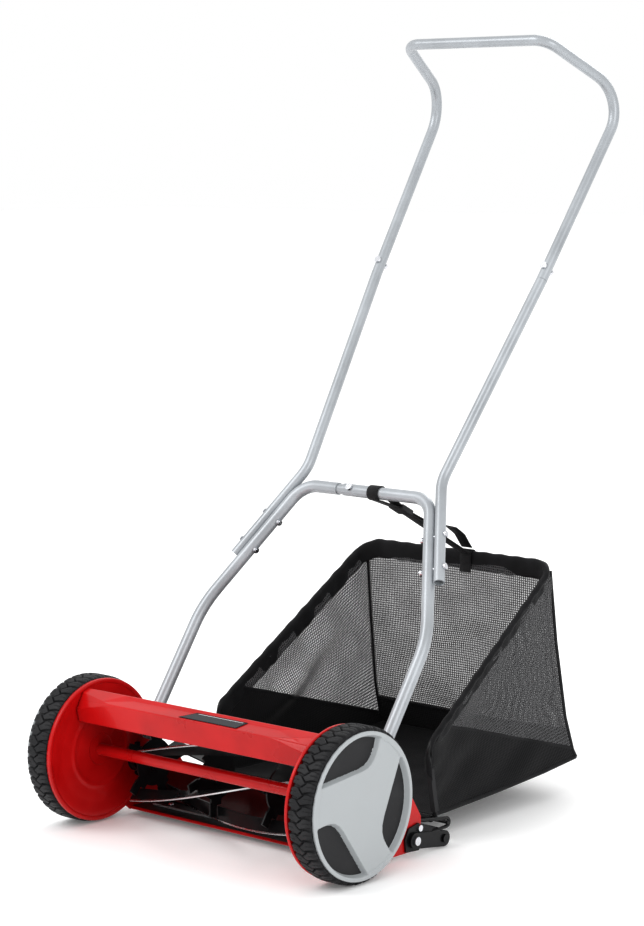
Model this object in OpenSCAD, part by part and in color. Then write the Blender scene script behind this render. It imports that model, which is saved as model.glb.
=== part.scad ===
// Push reel mower with a folding tube handle, rear roller and open grass bag.
// Frame: X across the mower, Y towards the user, Z up. The origin is on the ground below the axle.

/* [Deck] */
// Distance between the inner rims of the two side plates
deck_w = 444; // [380:1:520]
// Thickness of the pressed side plates
plate_t = 2.5; // [2:0.5:4]
// Outer radius of the round part of a side plate
plate_r = 102; // [96:1:104]
// Outer diameter of the red cross tube that joins the side plates
cross_tube_d = 17; // [14:1:18]
// Thickness of the sheet cover over the reel
cover_t = 2; // [1.5:0.5:3]

/* [Wheels] */
// Outer diameter of the tyres
tyre_d = 210; // [208:1:240]
// Width of a tyre
tyre_w = 38; // [30:1:46]
// Diameter of the wheel axle rod
axle_d = 12; // [10:1:14]

/* [Drive] */
// Teeth of the internal gear in each wheel
ring_teeth = 88; // [86:1:89]
// Teeth of each reel pinion
pinion_teeth = 12; // [11:1:13]
// Angle of the reel shaft below the axle, seen from the side
reel_angle = 20; // [16:1:24]

/* [Reel] */
// Cutting diameter of the reel
reel_d = 129; // [110:1:131]
// Twist of a blade over its length
blade_twist = 104; // [60:1:130]
// Thickness of a reel blade
blade_t = 2.6; // [2:0.2:4]
// Radial depth of a reel blade
blade_depth = 21; // [16:1:26]
// Diameter of the reel shaft
shaft_d = 12; // [10:1:14]

/* [Handle] */
// Elevation of the handle above the ground at rest
handle_angle = 55.4; // [45:0.1:65]
// Outer diameter of the lower handle tubes
lower_tube_d = 18; // [16:1:20]
// Outer diameter of the middle tubes and of the top loop
upper_tube_d = 16; // [14:1:18]
// Wall of every handle tube
tube_wall = 1.5; // [1:0.1:2]
// Distance from the handle pivot to the cross bar, along the handle
crossbar_at = 415; // [360:1:480]
// Distance from the handle pivot to the top joint, along the handle
joint_at = 783; // [700:1:860]
// Distance from the handle pivot to the bend of the top loop, along the handle
loop_bend_at = 1107; // [1000:1:1180]

/* [Roller] */
// Diameter of the rear roller
roller_d = 26; // [22:1:28]
// Distance from the height screw to the roller axis
arm_len = 63; // [58:1:72]

/* [Grass bag] */
// Length of the bag floor from the hooks to the rear corner
bag_len = 358; // [300:1:420]
// Half of the width between the two front legs of the bag wire
bag_half_front = 200; // [170:1:202]
// Half of the width between the two rear corners of the bag wire
bag_half_rear = 180; // [150:1:190]
// Diameter of the bag wire
bag_wire_d = 6; // [5:0.5:8]
// Thickness of the bag fabric with its lining
fabric_t = 2.4; // [2:0.2:4]

/* [Hidden] */
$fn = 72;
gap = 0.3;
bend_swell = 0.04;
bend_lap = 0.25;
fit = 0.05;
gear_m = 2;
blade_count = 5;
spider_count = 4;

axle_z = tyre_d / 2;
rim_x = deck_w / 2;
plate_x = rim_x + 2;
plate_out = plate_x + plate_t;
wheel_x = plate_out + 1.5;
wheel_w = tyre_w - 6;
web_x = wheel_x + wheel_w - 4;
cover_x = wheel_x + wheel_w + gap;
cover_out = wheel_x + tyre_w + gap + 3.7;
spoke_step = 1.5;
tyre_in_r = axle_z - 11;
ring_pitch_r = gear_m * ring_teeth / 2;
pinion_pitch_r = gear_m * pinion_teeth / 2;
gear_w = 12;
pinion_bore_r = 5 + fit;
gear_offset = ring_pitch_r - pinion_pitch_r;
reel_y = gear_offset * cos(reel_angle);
reel_z = axle_z - gear_offset * sin(reel_angle);
reel_r = reel_d / 2;
reel_half = rim_x - 22;
spider_t = 3;
spider_span = 2 * (reel_half - 12);
housing_r = 18;
housing_x = rim_x - 11;
bearing_r = 14;
bearing_w = 8;
shaft_end = wheel_x + gear_w + 4;
tail_y = 170;
cut_z = reel_z - reel_r - 0.8;
knife_t = 3;
knife_y = reel_y + 9;
knife_l = 24;
bar_t = 3.5;
bar_lip = 11;
bar_front = reel_y - 14;
bar_rear = knife_y + knife_l + bar_t + 1;
bar_z = cut_z - knife_t - bar_t;
knife_screw_n = 5;
knife_screw_r = 2.5;

pivot_y = 84;
pivot_z = axle_z + 16.2;
lower_x = rim_x - 1.2 - lower_tube_d / 2;
pin_r = 4;
stop_r = 4;
tail_len = 12;
stop_back = lower_tube_d / 2 + stop_r + 0.15;
lap_from = 202.6;
lap_gap = (lower_tube_d + upper_tube_d) / 2 + gap;
crossbar_x = 120;
lap_len = norm([lower_x - crossbar_x, crossbar_at - lap_from]);
lap_u = [(crossbar_x - lower_x) / lap_len, (crossbar_at - lap_from) / lap_len];
lap_n = [lap_u[1], -lap_u[0]];
mid_start = 88;
mid_bend = 255;
joint_x = 156.4;
sleeve_len = 26;
loop_x = 172.6;
grip_y = 568;
grip_z = 1112.5;
grip_half = 131;
brace_at = [112, 165];
screw_r = 3;
swage = tube_wall + 0.1;
cross_sleeve = 40;
cross_swage_at = -51;
joint_gap = 0.2;
cross_screw_x = -25;

arm_y = 151;
arm_z = 22;
arm_half = 11;
arm_t = 4;
arm_drop = 9;
bracket_t = 3;
roller_y = arm_y + sqrt(pow(arm_len, 2) - pow(arm_drop, 2));
roller_z = arm_z - arm_drop;
hook_wire_r = 2.5;
hook_x = plate_x - hook_wire_r - 0.1;
roller_half = hook_x - hook_wire_r - 1.5;
roller_shaft_r = 4;

hook_y = 232;
hook_z = 30;
hook_bend_r = 5.8;
hook_rod_r = 2.5;
bag_front_y = 216;
bag_front_z = 134;
bag_top_y = 535;
bag_top_z = 350;
bag_rear_z = 52;
bag_clear = bag_wire_d / 2 + 0.6;
channel_w = 8;

strap_x = 20;
strap_w = 20;
strap_t = 1.6;
strap_loop_r = lower_tube_d / 2 + 0.6;
buckle_at = 48;

// ---- helpers ----

// Draws a flat outline in the Y-Z plane and gives it a thickness along X.
module yz(x, t) translate([x, 0, 0]) rotate([90, 0, 90]) linear_extrude(t) children();

// A rod along X.
module x_rod(x, len, r, y, z) translate([x, y, z]) rotate([0, 90, 0]) cylinder(h = len, r = r);

// Turns an outline of [radius, x] points about the line through (y, z) along X.
module x_turned(y, z) translate([0, y, z]) rotate([0, 90, 0]) rotate_extrude() children();

module mirrored() mirror([1, 0, 0]) children();

flip_x = [[-1, 0, 0], [0, 1, 0], [0, 0, 1]];
function unit(v) = v / norm(v);
function side_of(w) = unit(cross(w, abs(w[2]) < 0.9 ? [0, 0, 1] : [0, 1, 0]));
function column_matrix(a, b, c, o) = [
    [a[0], b[0], c[0], o[0]],
    [a[1], b[1], c[1], o[1]],
    [a[2], b[2], c[2], o[2]],
    [0, 0, 0, 1]
];
// Matrix that carries the Z axis onto the line from a towards b.
function along(a, b) = let (w = unit(b - a), s = side_of(w)) column_matrix(s, cross(w, s), w, a);

// A solid run of constant radius along a list of points, with a round bend at each inner point.
// The ends are lengthened by the given amounts; a bend is a hair wider than the straights it joins.
module bent_rod(pts, bends, r, extra = 0) {
    last = len(pts) - 1;
    for (i = [0:last - 1]) {
        dir = unit(pts[i + 1] - pts[i]);
        from = pts[i] + dir * (i == 0 ? -extra : bend_reach(pts, bends, i) - bend_lap);
        to = pts[i + 1] + dir * (i + 1 == last ? extra : bend_lap - bend_reach(pts, bends, i + 1));
        rod(from, to, r);
    }
    for (i = [1:1:last - 1]) {
        u = unit(pts[i] - pts[i - 1]);
        v = unit(pts[i + 1] - pts[i]);
        n = unit(v - u * (u * v));
        centre = pts[i] - u * bend_reach(pts, bends, i) + n * bends[i];
        multmatrix(column_matrix(-n, u, cross(-n, u), centre))
            rotate_extrude(angle = acos(u * v)) translate([bends[i], 0]) circle(r + bend_swell);
    }
}
function bend_reach(pts, bends, i) =
    let (u = unit(pts[i] - pts[i - 1]), v = unit(pts[i + 1] - pts[i])) bends[i] * tan(acos(u * v) / 2);

// A hollow run of tube, open at both ends.
module tube_run(pts, bends, r, wall) difference() {
    bent_rod(pts, bends, r);
    bent_rod(pts, bends, r - wall, 1);
}

// A rod between two points.
module rod(a, b, r) multmatrix(along(a, b)) cylinder(h = norm(b - a), r = r);

// ---- deck ----

module plate_outline() difference() {
    union() {
        translate([0, axle_z]) circle(plate_r, $fn = 180);
        polygon([
            [30, 30], [bar_front, bar_z - 1], [arm_y, bar_z - 1], [tail_y - 4, bar_z + 6],
            [tail_y, 36], [tail_y, 52], [152, 80], [100, axle_z - 5], [60, axle_z]
        ]);
    }
    translate([0, axle_z]) circle(axle_d / 2 + fit);
    translate([reel_y, reel_z]) circle(shaft_d / 2 + 1.5);
    translate([pivot_y, pivot_z]) circle(pin_r + fit);
}

module side_plate() color("firebrick") {
    yz(plate_x, plate_t) plate_outline();
    x_turned(0, axle_z) polygon([
        [plate_r - 7, rim_x + 0.8], [plate_r - 6, rim_x], [plate_r - 1.5, rim_x], [plate_r, rim_x + 1.5],
        [plate_r, plate_x + plate_t], [plate_r - 2.5, plate_x + plate_t], [plate_r - 2.5, rim_x + 2.5],
        [plate_r - 6, rim_x + 2.5]
    ]);
}

cover_front_y = -52;
cover_front_z = axle_z + 83;
cover_back_y = -26;
cover_back_z = axle_z + 93;
cover_lip_y = -44;
cover_lip_z = axle_z + 48;
cover_tail_y = 62;
cover_tail_z = axle_z + 53;

module top_cover() color("red") {
    yz(-rim_x + 1, 2 * rim_x - 2) polygon([
        [cover_lip_y, cover_lip_z], [cover_front_y, cover_front_z], [cover_back_y, cover_back_z],
        [cover_tail_y, cover_tail_z], [cover_tail_y + 2, cover_tail_z - 8],
        [cover_tail_y, cover_tail_z - 8], [cover_tail_y - 2, cover_tail_z - cover_t - 1],
        [cover_back_y, cover_back_z - cover_t], [cover_front_y + cover_t, cover_front_z - cover_t],
        [cover_lip_y + cover_t, cover_lip_z + 3], [cover_lip_y + 8, cover_lip_z + 3],
        [cover_lip_y + 8, cover_lip_z]
    ]);
    for (s = [-1, 1]) yz(s > 0 ? rim_x - 1.5 : -plate_x, plate_x - rim_x + 1.5) difference() {
        polygon([
            [cover_lip_y + 4, cover_lip_z], [cover_lip_y + 2, axle_z + 78], [-28, axle_z + 86],
            [10, axle_z + 76], [20, axle_z + 60], [cover_lip_y + 20, cover_lip_z]
        ]);
        translate([-20, axle_z + 66]) circle(screw_r + fit);
    }
}

label_half = 56;
label_x = 36;
module cover_label() color("black") {
    slope = (cover_back_z - cover_front_z) / (cover_back_y - cover_front_y);
    yz(label_x - label_half, 2 * label_half) polygon([
        [cover_front_y + 4, cover_front_z + slope * 4 + gap / 3],
        [cover_back_y - 4, cover_back_z - slope * 4 + gap / 3],
        [cover_back_y - 4, cover_back_z - slope * 4 + 0.9],
        [cover_front_y + 4, cover_front_z + slope * 4 + 0.9]
    ]);
}

module cover_screws() color("silver") for (s = [0, 1]) mirror([s, 0, 0]) {
    x_rod(rim_x - 5, 3.5, 5.5, -20, axle_z + 66);
    x_rod(rim_x - 2, plate_x - rim_x + 2, screw_r, -20, axle_z + 66);
}

module cross_tube() color("red") difference() {
    x_rod(-plate_x, 2 * plate_x, cross_tube_d / 2, 0, axle_z);
    x_rod(-plate_x - 1, 2 * plate_x + 2, cross_tube_d / 2 - 1.8, 0, axle_z);
}

rod_half = cover_x + 1.5;
clip_t = 1;
clip_x = wheel_x + wheel_w + 0.4;
module axle_rod() color("dimgray") difference() {
    x_rod(-rod_half, 2 * rod_half, axle_d / 2, 0, axle_z);
    for (s = [0, 1]) mirror([s, 0, 0]) x_turned(0, axle_z) polygon([
        [axle_d / 2 - 1, clip_x], [axle_d / 2 + 1, clip_x],
        [axle_d / 2 + 1, clip_x + clip_t], [axle_d / 2 - 1, clip_x + clip_t]
    ]);
}

module axle_clips() color("silver") for (s = [0, 1]) mirror([s, 0, 0])
    x_turned(0, axle_z) polygon([
        [axle_d / 2 - 1, clip_x + 0.1], [axle_d / 2 + 4, clip_x + 0.1],
        [axle_d / 2 + 4, clip_x + clip_t - 0.1], [axle_d / 2 - 1, clip_x + clip_t - 0.1]
    ]);

module knife_holes(r) for (i = [0:knife_screw_n - 1])
    translate([(i - (knife_screw_n - 1) / 2) * deck_w / knife_screw_n, knife_y + knife_l * 0.62, 0])
        translate([0, 0, bar_z - 5]) cylinder(h = 30, r = r);

module cutter_bar() color("darkred") difference() {
    yz(-plate_x, 2 * plate_x) polygon([
        [bar_front, bar_z], [bar_rear, bar_z], [bar_rear, bar_z + bar_lip], [bar_rear - bar_t, bar_z + bar_lip],
        [bar_rear - bar_t, bar_z + bar_t], [bar_front + 2, bar_z + bar_t], [bar_front, bar_z + 1.5]
    ]);
    knife_holes(knife_screw_r + 0.2);
}

module bed_knife() color("dimgray") difference() {
    yz(-reel_half - 2, 2 * reel_half + 4) polygon([
        [knife_y, cut_z], [knife_y + knife_l, cut_z], [knife_y + knife_l, cut_z - knife_t],
        [knife_y + 3, cut_z - knife_t]
    ]);
    knife_holes(knife_screw_r + 0.2);
}

module knife_screws() color("silver") for (i = [0:knife_screw_n - 1])
    translate([(i - (knife_screw_n - 1) / 2) * deck_w / knife_screw_n, knife_y + knife_l * 0.62, 0]) {
        translate([0, 0, bar_z - 3]) cylinder(h = cut_z - bar_z + 3, r = knife_screw_r);
        translate([0, 0, cut_z]) cylinder(h = 2, r1 = 4.6, r2 = 3.4);
        translate([0, 0, bar_z - 3]) cylinder(h = 3, r = 4, $fn = 6);
    }

module bearing_housing() color("black") difference() {
    union() {
        x_rod(housing_x, plate_x - housing_x, housing_r, reel_y, reel_z);
        for (s = [-1, 1]) x_rod(plate_x - 3, 3, 5, reel_y, reel_z + s * 20);
    }
    x_rod(housing_x - 1, bearing_w + 3, bearing_r, reel_y, reel_z);
    x_rod(housing_x - 1, 30, shaft_d / 2 + 1.5, reel_y, reel_z);
}

module reel_bearing() color("silver")
    x_turned(reel_y, reel_z) polygon([
        [shaft_d / 2 + fit, housing_x + 1], [shaft_d / 2 + 2, housing_x + 1],
        [shaft_d / 2 + 2, housing_x + 1.6], [bearing_r - 3, housing_x + 1.6],
        [bearing_r - 3, housing_x + 1], [bearing_r, housing_x + 1],
        [bearing_r, housing_x + 1 + bearing_w], [shaft_d / 2 + fit, housing_x + 1 + bearing_w]
    ]);

pin_head = 1.2;
pin_in = lower_x - lower_tube_d / 2 - pin_head - gap;
module handle_pin() color("silver") {
    x_rod(pin_in, plate_out - pin_in, pin_r, pivot_y, pivot_z);
    x_rod(pin_in, pin_head, 7, pivot_y, pivot_z);
    x_rod(lower_x + lower_tube_d / 2 + gap, plate_x - lower_x - lower_tube_d / 2 - gap, 8, pivot_y, pivot_z);
}

stop_y = pivot_y - tail_len * cos(handle_angle) - stop_back * sin(handle_angle);
stop_z = pivot_z - tail_len * sin(handle_angle) + stop_back * cos(handle_angle);
module handle_stops() color("silver") for (s = [0, 1]) mirror([s, 0, 0])
    x_rod(pin_in, plate_x - pin_in, stop_r, stop_y, stop_z);

module height_bracket() color("black") yz(plate_out, bracket_t) difference() {
    polygon([
        [arm_y - 16, 8], [tail_y - 8, 6], [tail_y - 1, 14], [tail_y - 1, 40], [tail_y - 8, 44],
        [arm_y - 10, 40], [arm_y - 18, 26]
    ]);
    translate([arm_y, arm_z]) circle(screw_r + fit);
}

// Direction of the line from p that touches a circle of radius r about c on its left (1) or right (-1).
function touching(p, c, r, s) =
    let (d = c - p, a = atan2(d[1], d[0]) + s * asin(r / norm(d))) [cos(a), sin(a)];
function meeting(p, u, q, v) =
    let (w = q - p, t = (w[0] * v[1] - w[1] * v[0]) / (u[0] * v[1] - u[1] * v[0])) p + u * t;

module bag_hooks() color("black") for (s = [0, 1]) mirror([s, 0, 0]) {
    upper = [tail_y - 14, 46];
    lower = [tail_y - 14, 19];
    c = [hook_y, hook_z];
    tip = meeting(upper, touching(upper, c, hook_bend_r, 1), lower, touching(lower, c, hook_bend_r, -1));
    bent_rod([[hook_x, upper[0], upper[1]], [hook_x, tip[0], tip[1]], [hook_x, lower[0], lower[1]]],
        [0, hook_bend_r, 0], hook_wire_r);
}

// ---- wheels ----

gear_half_tooth = 360 / ring_teeth * 0.205;
module ring_gear_outline() {
    tip_r = ring_pitch_r - 0.75 * gear_m;
    root_r = ring_pitch_r + 1.05 * gear_m;
    step = 360 / ring_teeth;
    polygon([
        for (i = [0:ring_teeth - 1])
            for (p = [[root_r, -1.5], [tip_r, -0.75], [tip_r, 0.75], [root_r, 1.5]])
                let (a = (i + 0.5) * step + p[1] * gear_half_tooth - reel_angle)
                    [p[0] * cos(a), p[0] * sin(a)]
    ]);
}

module wheel() color([0.2, 0.2, 0.2]) translate([0, 0, axle_z]) {
    yz(wheel_x, gear_w) difference() {
        circle(tyre_in_r, $fn = 180);
        ring_gear_outline();
    }
    rotate([0, 90, 0]) rotate_extrude($fn = 180) {
        polygon([
            [ring_pitch_r + 2.6, wheel_x + gear_w], [tyre_in_r, wheel_x + gear_w],
            [tyre_in_r, wheel_x + wheel_w], [18, wheel_x + wheel_w], [18, web_x],
            [ring_pitch_r + 2.6, web_x]
        ]);
        polygon([
            [axle_d / 2 + 3, wheel_x + 0.5], [18, wheel_x + 0.5], [18, wheel_x + wheel_w],
            [axle_d / 2 + 3, wheel_x + wheel_w]
        ]);
    }
}

module tyre() color([0.15, 0.15, 0.15]) x_turned(0, axle_z) {
    polygon([
        [tyre_in_r + fit, wheel_x], [axle_z - 4, wheel_x], [axle_z - 1.2, wheel_x + 3],
        [axle_z, wheel_x + tyre_w * 0.3], [axle_z, wheel_x + tyre_w * 0.7],
        [axle_z - 1.2, wheel_x + tyre_w - 3], [axle_z - 4, wheel_x + tyre_w], [tyre_in_r + fit, wheel_x + tyre_w]
    ]);
}

module hub_cover() color("silver") translate([0, 0, axle_z]) difference() {
    union() {
        yz(cover_x, cover_out - spoke_step - cover_x) circle(tyre_in_r - 1, $fn = 120);
        yz(wheel_x + tyre_w + gap, cover_out - wheel_x - tyre_w - gap) difference() {
            circle(tyre_in_r + 5, $fn = 120);
            circle(tyre_in_r - 4.5, $fn = 120);
        }
    }
    for (k = [0:2]) yz(cover_x - 1, cover_out - cover_x + 2) rotate(-120 * k) window_flat();
    x_rod(cover_x - 1, 7, 14, 0, 0);
}

// One window: a long straight edge, a rounded inner corner and an arc along the rim.
module window_flat() {
    win_r = tyre_in_r - 4;
    polygon([
        [win_r * cos(154), win_r * sin(154)], [-37, 45], [-3, 48.5], [8, 51], [16, 55.5], [22, 62], [27, 71],
        for (a = [69:5:149]) [win_r * cos(a), win_r * sin(a)]
    ]);
}

module wheel_bush() color("tan") x_turned(0, axle_z) polygon([
    [axle_d / 2 + fit, wheel_x + 0.3], [axle_d / 2 + 3 - fit, wheel_x + 0.3],
    [axle_d / 2 + 3 - fit, wheel_x + wheel_w], [axle_d / 2 + fit, wheel_x + wheel_w]
]);

// ---- reel ----

slot_w = 3;
module reel_shaft() color("dimgray") difference() {
    union() {
        x_rod(-wheel_x + 1, 2 * wheel_x - 2, shaft_d / 2, reel_y, reel_z);
        x_rod(-shaft_end, 2 * shaft_end, 5, reel_y, reel_z);
    }
    for (s = [0, 1]) mirror([s, 0, 0])
        translate([wheel_x + 3, reel_y - 10, reel_z - slot_w / 2]) cube([6, 20, slot_w]);
}

blade_start = -179;
function reel_slant(x) = blade_start - blade_twist * x / (2 * reel_half);
module spider(k) color("black") {
    x = -spider_span / 2 + k * spider_span / (spider_count - 1);
    turn = reel_slant(x);
    translate([0, reel_y, reel_z]) {
        yz(x - spider_t / 2, spider_t) difference() {
            union() {
                circle(34);
                for (b = [0:blade_count - 1]) rotate(turn + b * 360 / blade_count) {
                    translate([0, -13]) square([reel_r - blade_depth - 2, 20]);
                    translate([reel_r - blade_depth - 6, -15]) square([blade_depth - 1, 13.2]);
                    translate([reel_r - 14, -8.2]) circle(6.4);
                }
            }
            circle(shaft_d / 2 + fit);
            for (b = [0:blade_count - 1]) rotate(turn + b * 360 / blade_count)
                translate([reel_r - blade_depth - 1, -1.6 - spider_t * tan_twist()])
                    square([blade_depth + 10, 60]);
        }
        difference() {
            x_rod(x - 7, 14, shaft_d / 2 + 5, 0, 0);
            x_rod(x - 8, 16, shaft_d / 2 + fit, 0, 0);
        }
    }
}
function tan_twist() = blade_twist * PI / 180 * reel_r / (2 * reel_half) * 0.6;

blade_steps = 26;
module reel_blade(b) color("black") {
    r_in = reel_r - blade_depth;
    r_out = reel_r;
    corners = [[r_in, 0], [r_out, 0], [r_out, blade_t], [r_in, blade_t]];
    points = [
        for (i = [0:blade_steps])
            let (x = -reel_half + 2 * reel_half * i / blade_steps, a = reel_slant(x) + b * 360 / blade_count)
                for (c = corners)
                    [x, reel_y + c[0] * cos(a) - c[1] * sin(a), reel_z + c[0] * sin(a) + c[1] * cos(a)]
    ];
    faces = [
        [0, 1, 2], [0, 2, 3],
        for (i = [0:blade_steps - 1]) for (j = [0:3])
            let (p = 4 * i + j, q = 4 * i + (j + 1) % 4) each [[p, q + 4, q], [p, p + 4, q + 4]],
        [4 * blade_steps, 4 * blade_steps + 2, 4 * blade_steps + 1],
        [4 * blade_steps, 4 * blade_steps + 3, 4 * blade_steps + 2]
    ];
    polyhedron(points, faces);
}

module pinion() color("dimgray") translate([0, reel_y, reel_z]) {
    tip_r = pinion_pitch_r + 0.75 * gear_m;
    root_r = pinion_pitch_r - 1.05 * gear_m;
    half = 360 / pinion_teeth * 0.19;
    yz(wheel_x + 1, gear_w - 2) difference() {
        polygon([
            for (i = [0:pinion_teeth - 1])
                for (p = [[root_r, -1.55], [tip_r, -0.62], [tip_r, 0.62], [root_r, 1.55]])
                    let (a = i * 360 / pinion_teeth + p[1] * half - reel_angle)
                        [p[0] * cos(a), p[0] * sin(a)]
        ]);
        circle(pinion_bore_r);
        translate([-7.4, -slot_w / 2]) square([14.8, slot_w]);
    }
}

module pawl() color("silver")
    translate([wheel_x + 3.2, reel_y - 3.6, reel_z - slot_w / 2 + 0.15])
        cube([5.6, 10.6, slot_w - 0.3]);

// ---- height adjustment ----

module height_arm() color("dimgray") yz(plate_out + bracket_t + gap, arm_t) difference() {
    union() {
        translate([arm_y, arm_z]) circle(arm_half);
        translate([roller_y, roller_z]) circle(arm_half);
        translate([arm_y, arm_z]) rotate(-asin(arm_drop / arm_len))
            translate([0, -arm_half]) square([arm_len, 2 * arm_half]);
    }
    translate([arm_y, arm_z]) circle(screw_r + fit);
    translate([roller_y, roller_z]) circle(roller_shaft_r);
}

module height_screws() color("silver") for (s = [0, 1]) mirror([s, 0, 0]) {
    out = plate_out + bracket_t + gap + arm_t;
    x_rod(plate_x + plate_t, out - plate_out + 1, screw_r, arm_y, arm_z);
    x_rod(out + gap, 3.5, 6, arm_y, arm_z);
    x_rod(plate_out + bracket_t, 3, 4.5, arm_y + 12, 37);
}

module roller() color([0.12, 0.12, 0.12]) difference() {
    x_rod(-roller_half, 2 * roller_half, roller_d / 2, roller_y, roller_z);
    x_rod(-roller_half - 1, 2 * roller_half + 2, roller_shaft_r + fit, roller_y, roller_z);
}

roller_shaft_half = plate_out + bracket_t + gap + arm_t + 1.5;
module roller_shaft() color("silver") {
    x_rod(-roller_shaft_half, 2 * roller_shaft_half, roller_shaft_r, roller_y, roller_z);
    for (s = [0, 1]) mirror([s, 0, 0])
        x_rod(roller_shaft_half, 1.5, 6, roller_y, roller_z);
}

// ---- handle ----

// A point of the handle: x across, s along the handle from its pivot, h above the handle's plane.
function on_handle(x, s, h = 0) = [
    x,
    pivot_y + s * cos(handle_angle) - h * sin(handle_angle),
    pivot_z + s * sin(handle_angle) + h * cos(handle_angle)
];
function lap_point(s, off = 0) =
    on_handle(lower_x + lap_u[0] * s + lap_n[0] * off, lap_from + lap_u[1] * s + lap_n[1] * off);

// Hole or shank across the two tubes that lap each other.
module brace_rods(r, from, to) for (s = brace_at)
    rod(lap_point(s, from), lap_point(s, to), r);

function lower_line(to_x) = [
    on_handle(lower_x, -tail_len), on_handle(lower_x, lap_from),
    on_handle(crossbar_x, crossbar_at), on_handle(to_x, crossbar_at)
];
module crossbar_rods(r, from, to)
    rod(on_handle(cross_screw_x, crossbar_at, from), on_handle(cross_screw_x, crossbar_at, to), r);

module lower_tube_holes() {
    x_rod(lower_x - 20, 40, pin_r + fit, pivot_y, pivot_z);
    brace_rods(screw_r + 0.1, -20, 20);
}

module lower_tube_right() color("lightgray") difference() {
    tube_run(lower_line(-cross_sleeve), [0, 150, 42, 0], lower_tube_d / 2, tube_wall);
    lower_tube_holes();
    crossbar_rods(screw_r + 0.1, -30, 30);
}

module lower_tube_left() color("lightgray") difference() {
    union() {
        mirrored() bent_rod(lower_line(-cross_swage_at), [0, 150, 42, 0], lower_tube_d / 2);
        x_rod(cross_swage_at - 2, 5 - cross_swage_at, lower_tube_d / 2 - swage,
            on_handle(0, crossbar_at)[1], on_handle(0, crossbar_at)[2]);
    }
    mirrored() bent_rod(lower_line(4 - cross_swage_at), [0, 150, 42, 0], lower_tube_d / 2 - tube_wall, 1);
    x_rod(cross_swage_at - 6, 30 - cross_swage_at, lower_tube_d / 2 - swage - tube_wall,
        on_handle(0, crossbar_at)[1], on_handle(0, crossbar_at)[2]);
    mirrored() lower_tube_holes();
    crossbar_rods(screw_r + 0.1, -30, 30);
}

// The middle tube follows the lower tube on its outside, then turns up to the joint.
joint_dir = unit([loop_x, loop_bend_at] - [joint_x, joint_at]);
function lap_mid() = [
    lower_x + lap_u[0] * mid_bend + lap_n[0] * lap_gap, lap_from + lap_u[1] * mid_bend + lap_n[1] * lap_gap
];
module joint_rods(r, from, to) {
    p = [joint_x, joint_at] + joint_dir * 20;
    rod(on_handle(p[0], p[1], from), on_handle(p[0], p[1], to), r);
}

module mid_tube() color("lightgray") difference() {
    r = upper_tube_d / 2;
    bend = on_handle(lap_mid()[0], lap_mid()[1]);
    end = on_handle(joint_x, joint_at);
    dir = unit(on_handle(loop_x, loop_bend_at) - end);
    tip = end + dir * (sleeve_len + 12);
    union() {
        bent_rod([lap_point(mid_start, lap_gap), bend, end], [0, 60, 0], r);
        rod(end - dir * 2, tip, r - swage);
    }
    bent_rod([lap_point(mid_start - 1, lap_gap), bend, end - dir * 3], [0, 60, 0], r - tube_wall);
    rod(end - dir * 6, tip + dir, r - swage - tube_wall);
    brace_rods(screw_r + 0.1, 0, 40);
    joint_rods(screw_r + 0.1, -20, 20);
}

module top_loop() color("lightgray") difference() {
    start = on_handle(joint_x, joint_at) + joint_gap * unit(on_handle(0, 1) - on_handle(0, 0));
    up = on_handle(loop_x, loop_bend_at);
    grip = [grip_half, grip_y, grip_z];
    tube_run([start, up, grip, flip_x * grip, flip_x * up, flip_x * start], [0, 55, 30, 30, 55, 0],
        upper_tube_d / 2, tube_wall);
    for (s = [0, 1]) mirror([s, 0, 0]) joint_rods(screw_r + 0.1, -20, 20);
}

module brace_bolts() color("silver") for (s = [0, 1]) mirror([s, 0, 0]) {
    inner = -lower_tube_d / 2 - 0.4;
    outer = lap_gap + upper_tube_d / 2 + 0.4;
    brace_rods(screw_r, inner - 5, outer + 1);
    brace_rods(4.8, outer, outer + 2.6);
    brace_rods(4.4, inner - 4, inner);
}

module joint_screws() color("silver") {
    for (s = [0, 1]) mirror([s, 0, 0]) {
        top = upper_tube_d / 2 + 0.4;
        joint_rods(screw_r, -top - 4, top + 1);
        joint_rods(5.2, top, top + 2.8);
        joint_rods(4.4, -top - 3.4, -top);
    }
    top = lower_tube_d / 2 + 0.4;
    crossbar_rods(screw_r, -top - 4, top + 1);
    crossbar_rods(5.2, top, top + 2.8);
    crossbar_rods(4.4, -top - 3.4, -top);
}

// ---- grass bag ----

bag_rear_y = hook_y + bag_len;
bag_leg_x = bag_half_front + 3;
bag_leg = [[bag_leg_x, hook_y, hook_z], [bag_half_front, bag_front_y, bag_front_z]];
bag_top = [bag_half_rear, bag_top_y, bag_top_z];
module bag_frame() color("dimgray") {
    bent_rod(
        [bag_leg[0], bag_leg[1], bag_top, flip_x * bag_top, flip_x * bag_leg[1], flip_x * bag_leg[0]],
        [0, 26, 34, 34, 26, 0], bag_wire_d / 2
    );
    x_rod(-plate_x - 1, 2 * plate_x + 2, hook_rod_r, hook_y, hook_z);
}

module bag_channels() color([0.3, 0.3, 0.3]) for (s = [0, 1]) mirror([s, 0, 0]) {
    dir = bag_leg[1] - bag_leg[0];
    a = bag_leg[0] + dir * 0.12;
    multmatrix(along(a, bag_leg[1])) linear_extrude(norm(dir) * 0.6) difference() {
        square(channel_w, center = true);
        circle(bag_wire_d / 2 + 0.05);
    }
}

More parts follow.
